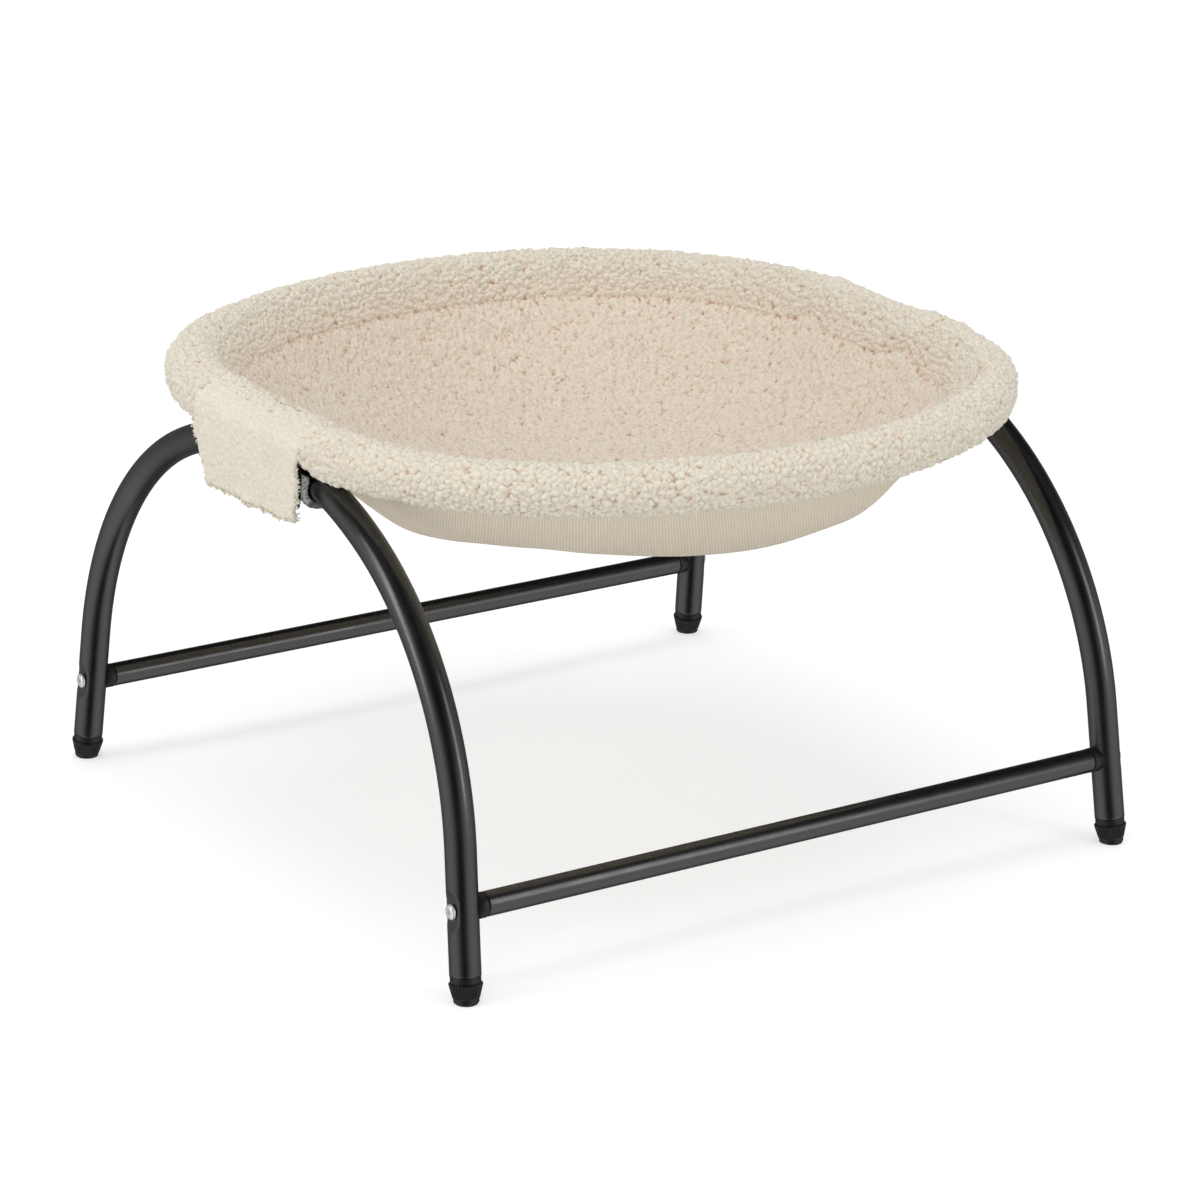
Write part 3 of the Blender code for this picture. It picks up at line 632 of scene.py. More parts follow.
@dataclass(frozen=True)
class SatinSolid:
    """A smooth hard finish with fine grain: powder coat, plastic or zinc."""

    name: str
    colour: Colour
    worn_colour: Colour
    roughness: float
    grain_size: float
    grain_depth: float
    metallic: float = 0.0
    shine: float = 0.5
    roughness_spread: float = 0.22
    broad_scale: float = 35.0

    def make(self, grain: Tree) -> bpy.types.Material:
        """Build the material: colour and roughness follow the broad mottling.

        Args:
            grain: The shared mottling group.

        Returns:
            The material.
        """
        made, graph, shader = new_material(self.name)
        mottle = graph.add("Group", {"Fine": 1 / self.grain_size, "Broad": self.broad_scale},
                           node_tree=grain).outputs
        broad = mottle["Broad mask"]
        graph.feed(shader, {
            "Base Color": graph.mix(broad, self.colour, self.worn_colour),
            "Roughness": graph.maths("MULTIPLY_ADD", broad, self.roughness_spread,
                                     self.roughness - self.roughness_spread / 2),
            "Metallic": self.metallic, "Specular IOR Level": self.shine,
            "Normal": graph.relief(mottle["Fine mask"], self.grain_depth, 1.0)})
        return made


@dataclass(frozen=True)
class CurlyFleece:
    """Cream pile: pale on the curls, with painted shade, warmer and darker, down between them."""

    name: str
    tip: Colour = (0.757, 0.712, 0.602)
    body: Colour = (0.722, 0.640, 0.522)
    # Root and body colours are painted shade down between the curls; the tip is the fleece's own
    # cream.
    root: Colour = (0.440, 0.290, 0.185)
    blush: Colour = (0.730, 0.640, 0.520)
    # Painted shade inside the bowl: the colour is multiplied by this warmer, darker tint where the
    # inside field is 1.
    inside_shade_tint: Colour = (0.995, 0.935, 0.915)
    root_share: float = 0.13
    body_share: float = 0.32
    tip_share: float = 0.55
    blush_from: float = 0.44

    def make(self, fuzz: Tree) -> bpy.types.Material:
        """Build the material from the pile and inside fields, fuzz and patches: painted shade where
        the pile is low, and inside the bowl.

        Args:
            fuzz: The shared fuzz group.

        Returns:
            The material.
        """
        made, graph, shader = new_material(self.name)
        fuzzy = graph.add("Group", {"Loops": 310.0, "Fibres": 1700.0}, node_tree=fuzz).outputs
        height = graph.weighed((graph.field("pile"), 0.7), (fuzzy["Loop height"], 0.3))
        # Low pile takes the root colour: painted shade in the crevices, and on every face whose
        # pile field is low.
        tone = graph.ramp(height, [(self.root_share, self.root), (self.body_share, self.body),
                                   (self.tip_share, self.tip)])
        warm = graph.maths("SUBTRACT", fuzzy["Patch"], self.blush_from)
        tinted = graph.mix(graph.maths("MAXIMUM", warm, 0.0), tone, self.blush)
        relief = graph.weighed((fuzzy["Loop height"], 1.0), (fuzzy["Fibre height"], 0.22))
        graph.feed(shader, {
            "Base Color": graph.mix(graph.field("inside"), tinted, self.inside_shade_tint, "MULTIPLY"),
            "Roughness": 0.92, "Sheen Weight": 0.25, "Sheen Roughness": 0.6,
            "Specular IOR Level": 0.2, "Normal": graph.relief(relief, 1.2 * MM, 0.7)})
        return made


@dataclass(frozen=True)
class RibKnit:
    """Beige knit whose ribs follow the cloth, read from its rib fields."""

    name: str
    pitch: float = 1.9 * MM
    stitch_share: float = 0.62
    crest: Colour = (0.770, 0.690, 0.555)
    # The trough colour is painted shade between the ribs.
    trough_shade: Colour = (0.630, 0.545, 0.420)

    def make(self, fuzz: Tree) -> bpy.types.Material:
        """Build the material: a sine across the ribs, and stitches along them, with painted shade
        in the troughs.

        Args:
            fuzz: The shared fuzz group.

        Returns:
            The material.
        """
        made, graph, shader = new_material(self.name)
        waves = []
        for field, share in (("rib_across", 1.0), ("rib_along", self.stitch_share)):
            turn = graph.maths("MULTIPLY", graph.field(field), TURN / self.pitch / share)
            waves.append(graph.maths("MULTIPLY_ADD", graph.maths("SINE", turn), 0.5, 0.5))
        fuzzy = graph.add("Group", {"Loops": 900.0, "Fibres": 2600.0}, node_tree=fuzz).outputs
        ribs = graph.weighed((waves[0], 0.8), (waves[1], 0.2))
        speckled = graph.weighed((ribs, 0.85), (fuzzy["Patch"], 0.25))
        relief = graph.weighed((ribs, 1.0), (fuzzy["Fibre height"], 0.2))
        graph.feed(shader, {
            "Base Color": graph.ramp(speckled, [(0.1, self.trough_shade), (0.85, self.crest)]),
            "Roughness": 0.9, "Sheen Weight": 0.15, "Sheen Roughness": 0.5,
            "Specular IOR Level": 0.2, "Normal": graph.relief(relief, 0.6 * MM, 0.7)})
        return made


@dataclass(frozen=True)
class FastenerTape:
    """Hook or loop tape: a pile of one colour, darker between the loops as painted shade, with a
    second colour on its edge field.
    """

    name: str
    pile_colour: Colour
    edge_colour: Colour
    loops: float
    gap_shade_share: float = 0.3

    def make(self, fuzz: Tree) -> bpy.types.Material:
        """Build the material; its edge field is 1 where the edge colour shows: the hook tape's
        woven edges, the bottom of the loop tape.

        Args:
            fuzz: The shared fuzz group.

        Returns:
            The material.
        """
        made, graph, shader = new_material(self.name)
        fuzzy = graph.add("Group", {"Loops": self.loops, "Fibres": 3000.0}, node_tree=fuzz).outputs
        # Painted shade between the loops: the low places take a darker copy of the pile colour.
        dark = tuple(self.gap_shade_share * part for part in self.pile_colour)
        pile = graph.mix(fuzzy["Loop height"], dark, self.pile_colour)
        relief = graph.maths("ADD", fuzzy["Loop height"], fuzzy["Fibre height"])
        graph.feed(shader, {
            "Base Color": graph.mix(graph.field("edge"), pile, self.edge_colour),
            "Roughness": 0.88, "Specular IOR Level": 0.3,
            "Normal": graph.relief(relief, 0.7 * MM, 0.8)})
        return made


class Finishes:
    """All of the bed's finishes, each built once."""

    def __init__(self) -> None:
        """Build the shared groups and the materials that use them."""
        grain, fuzz = grain_group(), fuzz_group()
        self.coat = Finish(SatinSolid(
            "black_powder_coat", (0.0028, 0.0032, 0.0031), (0.0045, 0.0050, 0.0048), 0.27,
            0.7 * MM, 0.02 * MM, shine=0.95).make(grain), "powder_coat")
        self.plastic = Finish(SatinSolid(
            "black_moulded_plastic", (0.0055, 0.0055, 0.0058), (0.0085, 0.0085, 0.0088), 0.42,
            0.4 * MM, 0.02 * MM, shine=0.36).make(grain), "black_plastic")
        self.zinc = Finish(SatinSolid(
            "bright_zinc_plate", (0.88, 0.89, 0.90), (0.70, 0.71, 0.73), 0.26, 0.5 * MM,
            0.008 * MM, metallic=0.6).make(grain), "zinc")
        self.fleece = Finish(CurlyFleece("cream_curly_fleece").make(fuzz), "fleece")
        self.knit = Finish(RibKnit("beige_rib_knit").make(fuzz), "rib_knit")
        self.hook = Finish(FastenerTape("black_hook_tape", (0.020, 0.020, 0.021),
                                        (0.012, 0.012, 0.013), 700.0).make(fuzz), "hook_tape")
        self.loop = Finish(FastenerTape("grey_loop_tape", (0.780, 0.780, 0.765),
                                        (0.014, 0.014, 0.015), 620.0).make(fuzz), "loop_tape")


# Frame


@dataclass
class ArchFrame:
    """The two bent arches: their line, their leaning planes and their tubes."""

    foot_spread_x: float = 507.0 * MM
    foot_spread_y: float = 506.5 * MM
    lean: float = math.radians(2.09)
    leg_slope: float = math.radians(7.5)
    crown_height: float = 288.0 * MM
    crown_sweep: float = math.radians(25.5)
    shoulder_radius: float = 216.028 * MM
    crown_radius: float = 277.994 * MM
    bar_height: float = 58.6 * MM
    foot_top: float = 17.4 * MM
    radius: float = 10.0 * MM
    dimple_length: float = 30.0 * MM
    dimple_floor: float = 12.0 * MM
    dimple_depth: float = 2.7 * MM
    dimple_reach: float = 16.5 * MM
    bend_clearance: float = 20.8 * MM
    sides: int = 72
    bend_step: float = 3.0 * MM
    dimple_step: float = 0.7 * MM
    cloth_step: float = 1.5 * MM
    cloth_share: float = 1.4

    def __post_init__(self) -> None:
        """Work out where the legs, bends and bar seats are."""
        self.bar_rise = self.bar_height / math.cos(self.lean)
        self.dimple_along = self.bar_rise / math.cos(self.leg_slope)
        bend_along = self.dimple_along + self.dimple_length / 2 + self.bend_clearance
        self.bar_reach_x = self.foot_spread_x / 2 - self.bar_rise * math.sin(self.lean)
        self.bar_reach_y = self.foot_spread_y / 2 - self.bar_rise * math.tan(self.leg_slope)
        self.crown_length = self.crown_radius * self.crown_sweep
        turned = math.pi / 2 - self.leg_slope - self.crown_sweep
        self.bend_start = self.crown_length + self.shoulder_radius * turned
        self.half_length = self.bend_start + bend_along - self.foot_top

    def placed(self, side: Side, local: Array) -> Array:
        """Move points from an arch's own plane to the bed.

        The plane turns by the lean about the line between the feet; the left
        side is then turned half way round.

        Args:
            side: Which arch.
            local: Outboard distance, depth and rise.

        Returns:
            Places in the bed's frame.
        """
        out, depth, rise = np.moveaxis(local, -1, 0)
        x = self.foot_spread_x / 2 + out * math.cos(self.lean) - rise * math.sin(self.lean)
        z = out * math.sin(self.lean) + rise * math.cos(self.lean)
        return np.stack([side.value * x, side.value * depth, z], axis=-1)

    def line(self, run: Array) -> tuple[Array, Array]:
        """The arch's centreline at signed distances from the crown's middle.

        A crown arc, then a shoulder arc that meets it smoothly, then a
        straight leg; the front half is the mirror image of the rear half.

        Args:
            run: Signed distances along the tube.

        Returns:
            Places in the plane and their outward normals.
        """
        away, sign = np.abs(run), np.where(run < 0, -1.0, 1.0)
        crown = np.clip(away, 0, self.crown_length) / self.crown_radius
        bend = np.clip(away - self.crown_length, 0, self.bend_start - self.crown_length)
        angle = crown + bend / self.shoulder_radius
        leg = np.clip(away - self.bend_start, 0, None)
        depth = (self.crown_radius * np.sin(crown) + leg * math.sin(self.leg_slope)
                 + self.shoulder_radius * (np.sin(angle) - np.sin(crown)))
        drop = (self.crown_radius * (1 - np.cos(crown)) + leg * math.cos(self.leg_slope)
                + self.shoulder_radius * (np.cos(crown) - np.cos(angle)))
        place = np.stack([0 * away, sign * depth, self.crown_height - drop], axis=-1)
        return place, np.stack([0 * away, sign * np.sin(angle), np.cos(angle)], axis=-1)

    def stations(self) -> Array:
        """Where the tube's rings are, close together at the dimples.

        Returns:
            Signed distances along the tube.
        """
        dimple = self.half_length - (self.dimple_along - self.foot_top)
        near = dimple + np.arange(-self.dimple_reach, self.dimple_reach, self.dimple_step)
        plain = np.arange(0, self.half_length, self.bend_step)
        plain = plain[np.abs(plain - dimple) > self.dimple_reach]
        half = np.unique(np.concatenate([plain, near, [self.half_length]]))
        return np.concatenate([-half[:0:-1], half])

    def tube_points(self) -> Array:
        """The tube's surface in its own plane, closed at both ends.

        Each ring is a circle whose outboard side is cut flat at the dimples;
        the depth of the cut is a smooth ramp, a floor and a smooth ramp.

        Returns:
            Rings by sides by three.
        """
        run = self.stations()
        place, normal = self.line(run)
        ring = spokes(circle(self.sides), np.array([1.0, 0.0, 0.0]), normal)
        points = place[:, None] + self.radius * ring
        from_dimple = np.abs(self.foot_top + self.half_length - np.abs(run) - self.dimple_along)
        ramp = (self.dimple_length - self.dimple_floor) / 2
        depth = self.dimple_depth * smooth_step((self.dimple_length / 2 - from_dimple) / ramp)
        points[..., 0] = np.minimum(points[..., 0], self.radius - depth[:, None])
        return capped(points, place)

    def cleared(self, points: Array, room: float) -> Array:
        """Push cloth points out of the arches' tubes.

        A point that is nearer than the room to its closest place on a
        crown's line moves straight away from that place, to the room's edge.

        Args:
            points: Places in the bed's frame.
            room: Distance to keep from a tube's centreline.

        Returns:
            The moved places.
        """
        reach = self.crown_length * self.cloth_share
        crown = self.line(np.arange(-reach, reach, self.cloth_step))[0]
        moved = points.copy()
        for side in Side:
            line = self.placed(side, crown)
            near = np.all((moved > line.min(0) - room) & (moved < line.max(0) + room), axis=-1)
            cloth = moved[near]
            if len(cloth):
                closest = line[((cloth[:, None] - line) ** 2).sum(-1).argmin(1)]
                away = cloth - closest
                inside = np.linalg.norm(away, axis=-1, keepdims=True) < room
                moved[near] = np.where(inside, closest + unit(away) * room, cloth)
        return moved

    def build(self, finishes: Finishes) -> None:
        """Make both tubes.

        Args:
            finishes: The bed's finishes.
        """
        for side in Side:
            tube = grid_object(side.word + "_arch_tube", self.placed(side, self.tube_points()))
            finished(tube, finishes.coat, "root", side.word + "_arch")


@dataclass
class FootCaps:
    """Four fluted caps in line with the legs, cut flat on the floor."""

    arches: ArchFrame
    flutes: int = 32
    points_a_flute: int = 6
    flute_depth: float = 0.75 * MM
    sharpness: float = 1.6
    floor_part: float = 0.2

    # Radius and height in mm, and the share of the flutes' depth
    PROFILE = ((0.0, 31.4, 0), (8.0, 31.4, 0), (8.4, 31.0, 0), (8.4, 17.45, 0), (9.4, 17.4, 0),
               (9.75, 17.1, 0), (9.75, 13.35, 0), (9.55, 13.1, 0), (9.5, 12.75, 0),
               (10.35, 12.7, 0), (10.75, 12.45, 0.2), (10.8, 12.1, 0.7), (10.6, 11.2, 1),
               (10.1, 9.2, 1), (9.6, 7.2, 1), (9.1, 5.2, 1), (8.85, 4.2, 0.8), (8.7, 3.7, 0.3),
               (8.55, 3.5, 0), (8.2, 3.3, 0), (8.15, 2.6, 0), (8.1, 1.0, 0), (7.8, 0.35, 0),
               (7.2, 0.0, 0), (5.0, 0.0, 0), (0.0, 0.0, 0))

    def cap_points(self, side: Side, end: End) -> Array:
        """One cap: a turned profile whose skirt is waved by the flutes.

        The wave is a raised cosine of the angle, sharpened so that ribs are
        broad and grooves narrow. Points under the floor are lifted to it.

        Args:
            side: Which arch.
            end: Which of its legs.

        Returns:
            Rows by points by three.
        """
        radius, height, share = np.array(self.PROFILE).T[..., None]
        wave = 0.5 - 0.5 * np.cos(self.flutes * circle(self.flutes * self.points_a_flute))
        wide = radius * MM - self.flute_depth * share * wave ** self.sharpness
        out, depth, rise = np.moveaxis(turned_grid(np.maximum(wide, 0), height * MM), -1, 0)
        sign = side.value * end.value
        sine, cosine = math.sin(self.arches.leg_slope), math.cos(self.arches.leg_slope)
        local = np.stack([out, sign * (self.arches.foot_spread_y / 2 - rise * sine)
                          + depth * cosine, rise * cosine + sign * depth * sine], axis=-1)
        cap = self.arches.placed(side, local)
        cap[..., 2] = np.where(height < self.floor_part, 0.0, np.maximum(cap[..., 2], 0.0))
        return cap

    def build(self, finishes: Finishes) -> None:
        """Make the four caps.

        Args:
            finishes: The bed's finishes.
        """
        for side in Side:
            for end in tuple(End)[::side.value]:  # the leg at positive depth first
                corner = end.word + "_" + side.word
                cap = grid_object(corner + "_foot_cap", self.cap_points(side, end))
                finished(cap, finishes.plastic, "root", corner + "_foot")


@dataclass
class Crossbars:
    """Two crossbars with a saddle plug and a button bolt at each end."""

    arches: ArchFrame
    bar_radius: float = 8.0 * MM
    bar_rings: int = 40
    plain_from: float = 8.0 * MM
    collar_length: float = 4.6 * MM
    gap: float = 0.3 * MM
    saddle_gap: float = 0.1 * MM
    head_radius: float = 4.95 * MM
    head_height: float = 2.6 * MM
    brim_height: float = 0.75 * MM
    socket_brim: float = 2.2 * MM
    socket_across: float = 3.0 * MM
    socket_depth: float = 1.5 * MM
    sides: int = 64

    # A bar's rounded end in mm: how far back each ring lies, how much it is slimmer
    BAR_END = ((0.0, 8.0), (0.0, 0.4), (0.3, 0.05), (1.0, 0.0))
    # A plug's rings in mm: the saddle's radius and how far short of the leg it
    # lies, then the others' radius and place outboard of the collar's inner end
    SADDLE = ((0.0, 0.0), (3.0, 0.0), (6.0, 0.0), (7.6, 0.0), (8.05, 0.15), (8.2, 0.4))
    STEM = ((8.2, 0.5), (8.1, 0.1), (7.7, 0.0), (6.7, 0.0), (6.7, -24.0), (0.0, -24.0))
    # Radius and height of a bolt's rings below the dome in mm
    SHANK = ((4.93, 0.3), (4.8, 0.05), (4.6, 0.0), (2.5, 0.0), (2.5, -44.0), (0.0, -44.0))

    def along_x(self, end: End, reach: Array, radius: Array) -> Array:
        """Circles about a bar's axis, at some reach from the middle."""
        turned = turned_grid(np.repeat(radius[:, None], self.sides, 1), reach)[..., [2, 0, 1]]
        return turned + [0, end.value * self.arches.bar_reach_y, self.arches.bar_height]

    def bar_points(self, end: End) -> Array:
        """One bar as a plain tube with slightly rounded, closed ends.

        Args:
            end: Which bar.

        Returns:
            Rows by sides by three.
        """
        half = self.arches.bar_reach_x - self.arches.radius - self.collar_length - self.gap
        back, slimmer = np.array(self.BAR_END).T * MM
        middle = np.linspace(half - self.plain_from, self.plain_from - half, self.bar_rings)
        reach = np.concatenate([half - back, middle, (back - half)[::-1]])
        slim = np.concatenate([slimmer, 0 * middle, slimmer[::-1]])
        return self.along_x(end, reach, self.bar_radius - slim)

    def plug_points(self, side: Side, end: End) -> Array:
        """One saddle plug, closed.

        Its outer face is cut to the leg: each point's distance from the
        middle is where a line along X meets the leg's cylinder.

        Args:
            side: Which arch.
            end: Which bar.

        Returns:
            Rows by sides by three.
        """
        arches = self.arches
        rings = np.array(self.SADDLE + self.STEM).T * MM
        points = self.along_x(end, 0 * rings[0], rings[0])
        spread = points[..., 1] - end.value * arches.bar_reach_y
        rise = points[..., 2] - arches.bar_height
        aside = spread + rise * end.value * math.tan(arches.leg_slope)
        bow = np.sqrt(np.maximum((arches.radius + self.saddle_gap) ** 2 - aside ** 2, 0))
        reach = arches.bar_reach_x - rise * math.tan(arches.lean) - bow - rings[1][:, None]
        collar_end = arches.bar_reach_x - arches.radius - self.collar_length
        reach[len(self.SADDLE):] = collar_end + rings[1][len(self.SADDLE):, None]
        points[..., 0] = side.value * reach
        return points

    def bolt_points(self, side: Side, end: End) -> Array:
        """A button-head bolt with a hexagon socket, closed.

        The head is part of a ball with a rounded brim. The socket's wall is a
        hexagon: its radius is half the width across flats over the cosine of
        the angle from the nearest flat.

        Args:
            side: Which arch.
            end: Which bar.

        Returns:
            Rows by sides by three.
        """
        arches, sixth, top = self.arches, math.pi / 3, self.head_height
        flat = (circle(self.sides) + sixth / 2) % sixth - sixth / 2
        hexagon = self.socket_across / 2 / np.cos(flat)
        share = np.linspace(0, math.pi / 2, 9)
        dome = self.socket_brim + (self.head_radius - self.socket_brim) * np.sin(share) ** 0.9
        dome_height = self.brim_height + (top - self.brim_height) * np.cos(share) ** 0.8
        floor = top - self.socket_depth
        rows = [(0, floor - 0.5 * MM), (0.9 * hexagon, floor), (hexagon, floor),
                (hexagon, top - 0.2 * MM), (1.08 * hexagon, top), *zip(dome, dome_height),
                *(np.array(self.SHANK) * MM)]
        radius = np.array([np.broadcast_to(row[0], self.sides) for row in rows])
        turned = turned_grid(radius, np.array([row[1] for row in rows]))
        bearing = (arches.radius - arches.dimple_depth + self.gap
                   + self.head_radius * math.tan(arches.lean))
        place = [side.value * (arches.bar_reach_x + bearing), end.value * arches.bar_reach_y,
                 arches.bar_height]
        return place + turned @ np.array([[0, 0, side.value], [0, -1, 0], [side.value, 0, 0]])

    def build(self, finishes: Finishes) -> None:
        """Make the bars, plugs and bolts, and dress the hidden hardware.

        Args:
            finishes: The bed's finishes.
        """
        for end in End:
            bar = grid_object(end.word + "_bar", self.bar_points(end))
            finished(bar, finishes.coat, "root", end.word + "_crossbar")
            for side in Side:
                corner = end.word + "_" + side.word
                plug = grid_object(corner + "_saddle", self.plug_points(side, end))
                finished(plug, finishes.plastic, "root", corner + "_plug")
                bolt = grid_object(corner + "_button_bolt", self.bolt_points(side, end))
                finished(bolt, finishes.zinc, "root", corner + "_bolt")
                for part in ("_insert", "_rivet_nut", "_hoop_bolt"):
                    dress(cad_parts[corner + part], finishes.zinc)
            dress(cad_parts[end.word + "_hoop"], finishes.coat)


# Cover


@dataclass
class HoopLine:
    """The hoop's plan: straight seats, corner arcs and flatter end arcs."""

    half_width: float = 242.3295 * MM
    depth: float = 513.4 * MM
    seat_half: float = 60.0 * MM
    sweep: float = math.radians(56.7)
    level: float = 302.40 * MM

    # Signs of x and y in the four quarters
    QUARTERS = ((1, 1), (-1, 1), (-1, -1), (1, -1))

    def __post_init__(self) -> None:
        """Work out both radii from the width, the depth and the seats."""
        flatness = (1 - math.sin(self.sweep)) / math.cos(self.sweep)
        spare = self.depth / 2 - self.seat_half - self.half_width * flatness
        self.corner = spare / (math.sin(self.sweep) - (1 - math.cos(self.sweep)) * flatness)
        self.corner_x = self.half_width - self.corner
        self.flat = self.corner_x / math.cos(self.sweep) + self.corner
        self.corner_end = self.seat_half + self.corner * self.sweep
        self.quarter = self.corner_end + self.flat * (math.pi / 2 - self.sweep)

    def at(self, run: Array) -> tuple[Array, Array]:
        """Plan points and outward normals at distances along the hoop.

        The run starts at the right crown and goes to the rear. A quarter is
        worked out and mirrored for the other three.

        Args:
            run: Distances in metres; any value wraps round.

        Returns:
            Points and normals, each with two axes last.
        """
        lap = np.mod(run, 4 * self.quarter)
        part = np.minimum(lap // self.quarter, 3).astype(int)
        own = np.where(part % 2 == 0, lap - part * self.quarter, (part + 1) * self.quarter - lap)
        corner = np.clip((own - self.seat_half) / self.corner, 0, self.sweep)
        angle = corner + np.clip((own - self.corner_end) / self.flat, 0, None)
        x = (self.corner_x + self.corner * np.cos(corner)
             + self.flat * (np.cos(angle) - np.cos(corner)))
        y = (np.minimum(own, self.seat_half) + self.corner * np.sin(corner)
             + self.flat * (np.sin(angle) - np.sin(corner)))
        sign = np.array(self.QUARTERS)[part]
        return (np.stack([x, y], axis=-1) * sign,
                np.stack([np.cos(angle), np.sin(angle)], axis=-1) * sign)

    def at_turn(self, turn: Array) -> tuple[Array, Array]:
        """The same at shares of the way round."""
        return self.at(turn * 4 * self.quarter)

    def frame_at(self, run: Array) -> tuple[Array, Array]:
        """The hoop's line in space with its level outward directions."""
        point, normal = self.at(run)
        return lifted(point, self.level), lifted(normal, 0.0)


@dataclass
class RimFleece:
    """Fleece rolled round the hoop: two long sleeves and two crown wraps."""

    arches: ArchFrame
    hoop: HoopLine
    pile: Pile
    radius: float = 14.3 * MM
    mouth_half: float = 65.0 * MM
    end_roll: float = 2.0 * MM
    mouth_radius: float = 12.6 * MM
    mouth_pile: float = 0.5
    wrap_shell: float = 3.0 * MM
    wrap_lining: float = 0.2 * MM
    wrap_roll: float = 2.4 * MM
    wrap_hem: float = 0.16
    wrap_gap: float = 0.4 * MM
    bare_from: float = math.radians(50)
    bare_ease: float = math.radians(35)
    clearance: float = 10.5 * MM
    flap_swell: float = 3.6 * MM
    flap_swell_reach: float = 12.0 * MM
    # Reach and strength of the painted shade in the crease at the sleeves' mouths.
    mouth_shade: float = 4.5 * MM
    shade: float = 0.9
    top_fill: float = 0.75
    step: float = 0.95 * MM
    around: int = 118

    # Plan place, swell and spread in mm of the fuller and thinner stretches
    SWELLS = ((-208, 138, 3.0, 80), (205, 140, -1.8, 80), (-60, 252, -0.5, 90))
    # Height, place and spread in mm of the swellings and the dip along a wrap
    CROWN = ((2.3, 50, 11), (1.6, 65, 5), (-1.5, 0, 28))
    # Height and cell in mm and seed of the padding's unevenness
    WAVES = ((0.7, 46, 3), (0.4, 17, 5))
    # Direction in degrees, least cosine and ease of three parts of a section; the last is where
    # shade is painted at the mouths
    TOP, FLAP_SIDE, UNDER_FLAP = (90, 0.2, 0.5), (15, 0.62, 0.35), (-20, 0.65, 0.25)

    def uneven(self, place: Array) -> Array:
        """Swell of the padding: two sizes of noise and a few round humps."""
        return ripples(place, self.WAVES) + humps(place[..., :2], self.SWELLS)

    def crown_shape(self, depth: Array) -> Array:
        """Two swellings near both ends of a wrap and a slack dip between them."""
        return sum(height * MM * bell(np.abs(depth) - place * MM, spread * MM)
                   for height, place, spread in self.CROWN)

    def wrap_radius(self, place: Array) -> Array:
        """The wrap's radius, without pile, at places on the hoop's line."""
        return self.radius + self.crown_shape(place[..., 1]) + self.uneven(place)

    def ring(self, run: Array, angle: Array, radius: Array) -> Array:
        """Points round the hoop line: outward by the cosine, up by the sine."""
        place, out = self.hoop.frame_at(run)
        return place[:, None] + radius[..., None] * spokes(angle, out, UP)

    def drawn_in(self, roll: Array, angle: Array) -> Array:
        """The roll at a cut end, from 0 to 1, which is mostly filled over the top."""
        return 1 - (1 - roll[:, None]) * (1 - self.top_fill * towards(angle, *self.TOP))

    def grown(self, points: Array, centre: Array, share: Array) -> tuple[Array, Array]:
        """Raise a share of the pile away from a centreline.

        Args:
            points: Rows by columns by three.
            centre: The centreline, rows by three.
            share: How much of the pile stands, from 0 to 1.

        Returns:
            The raised points and the pile field.
        """
        height = self.pile.height(points) * share
        away = unit(points - centre[:, None])
        return points + away * (height * self.pile.depth)[..., None], height

    def sleeve(self, end: End) -> Piece:
        """One long sleeve from crown to crown, closed round the hoop's ends.

        The radius falls at both mouths along a quarter circle, so that the
        fleece rolls in to the tube.

        Args:
            end: Rear or front.

        Returns:
            The piece.
        """
        length = 2 * self.hoop.quarter - 2 * self.mouth_half
        run = np.linspace(0, length, int(length / self.step))
        line = (1 - end.value) * self.hoop.quarter + self.mouth_half + run
        angle, inside = circle(self.around), np.minimum(run, length - run)
        centre, _ = self.hoop.frame_at(line)
        roll = rounded(inside / self.end_roll)
        full = self.radius + self.uneven(centre) + 0.6 * MM * bell(inside - 9 * MM, 9 * MM)
        swollen = full[:, None] + self.flap_swell * np.outer(
            bell(inside, self.flap_swell_reach), towards(angle, *self.FLAP_SIDE))
        radius = self.mouth_radius + (swollen - self.mouth_radius) * self.drawn_in(roll, angle)
        stands = self.mouth_pile + (1 - self.mouth_pile) * roll[:, None]
        points, height = self.grown(self.ring(line, angle, radius), centre, stands)
        # Painted shade in the crease at each mouth, under the flap: only the pile field is lowered,
        # so the colour darkens while the surface stays.
        crease_shade = smooth_step(1 - inside / self.mouth_shade)
        height *= 1 - self.shade * np.outer(crease_shade, towards(angle, *self.UNDER_FLAP))
        points = capped(self.arches.cleared(points, self.clearance), centre)
        return grid_object(end.word + "_sleeve_fleece", points, {"pile": ends_kept(height)})

    def wrap(self, side: Side) -> Piece:
        """The cloth over one crown, open below where the arch passes.

        Its section is a closed strip: out along the pile side and back along
        a smaller radius. The strip thins to nothing at the two long edges.

        Args:
            side: Which crown.

        Returns:
            The piece.
        """
        half = self.mouth_half - self.wrap_gap
        depth = np.linspace(-half, half, 140)
        angle = np.radians(np.linspace(-50, 230, 90))
        line = (1 - side.value) * self.hoop.quarter + depth
        centre, _ = self.hoop.frame_at(line)
        roll = rounded((half - np.abs(depth)) / self.wrap_roll)
        hem = rounded(np.minimum(angle - angle[0], angle[-1] - angle) / self.wrap_hem)
        core = self.wrap_radius(centre)[:, None] - self.wrap_shell
        outer = core + self.wrap_shell * self.drawn_in(roll, angle) * hem
        inner = core - self.wrap_lining * np.outer(roll, hem)
        # Below about 50 degrees from level the wrap has no pile, so the material gives it the
        # darkest colour, painted shade.
        bare = smooth_step((angle - self.bare_from) / self.bare_ease)
        face, height = self.grown(self.ring(line, angle, outer), centre,
                                  np.outer(roll, hem * bare))
        face = self.arches.cleared(face, self.clearance)
        back = self.arches.cleared(self.ring(line, angle, inner),
                                   self.clearance - self.wrap_lining)
        points = np.concatenate([face, back[:, ::-1]], axis=1)
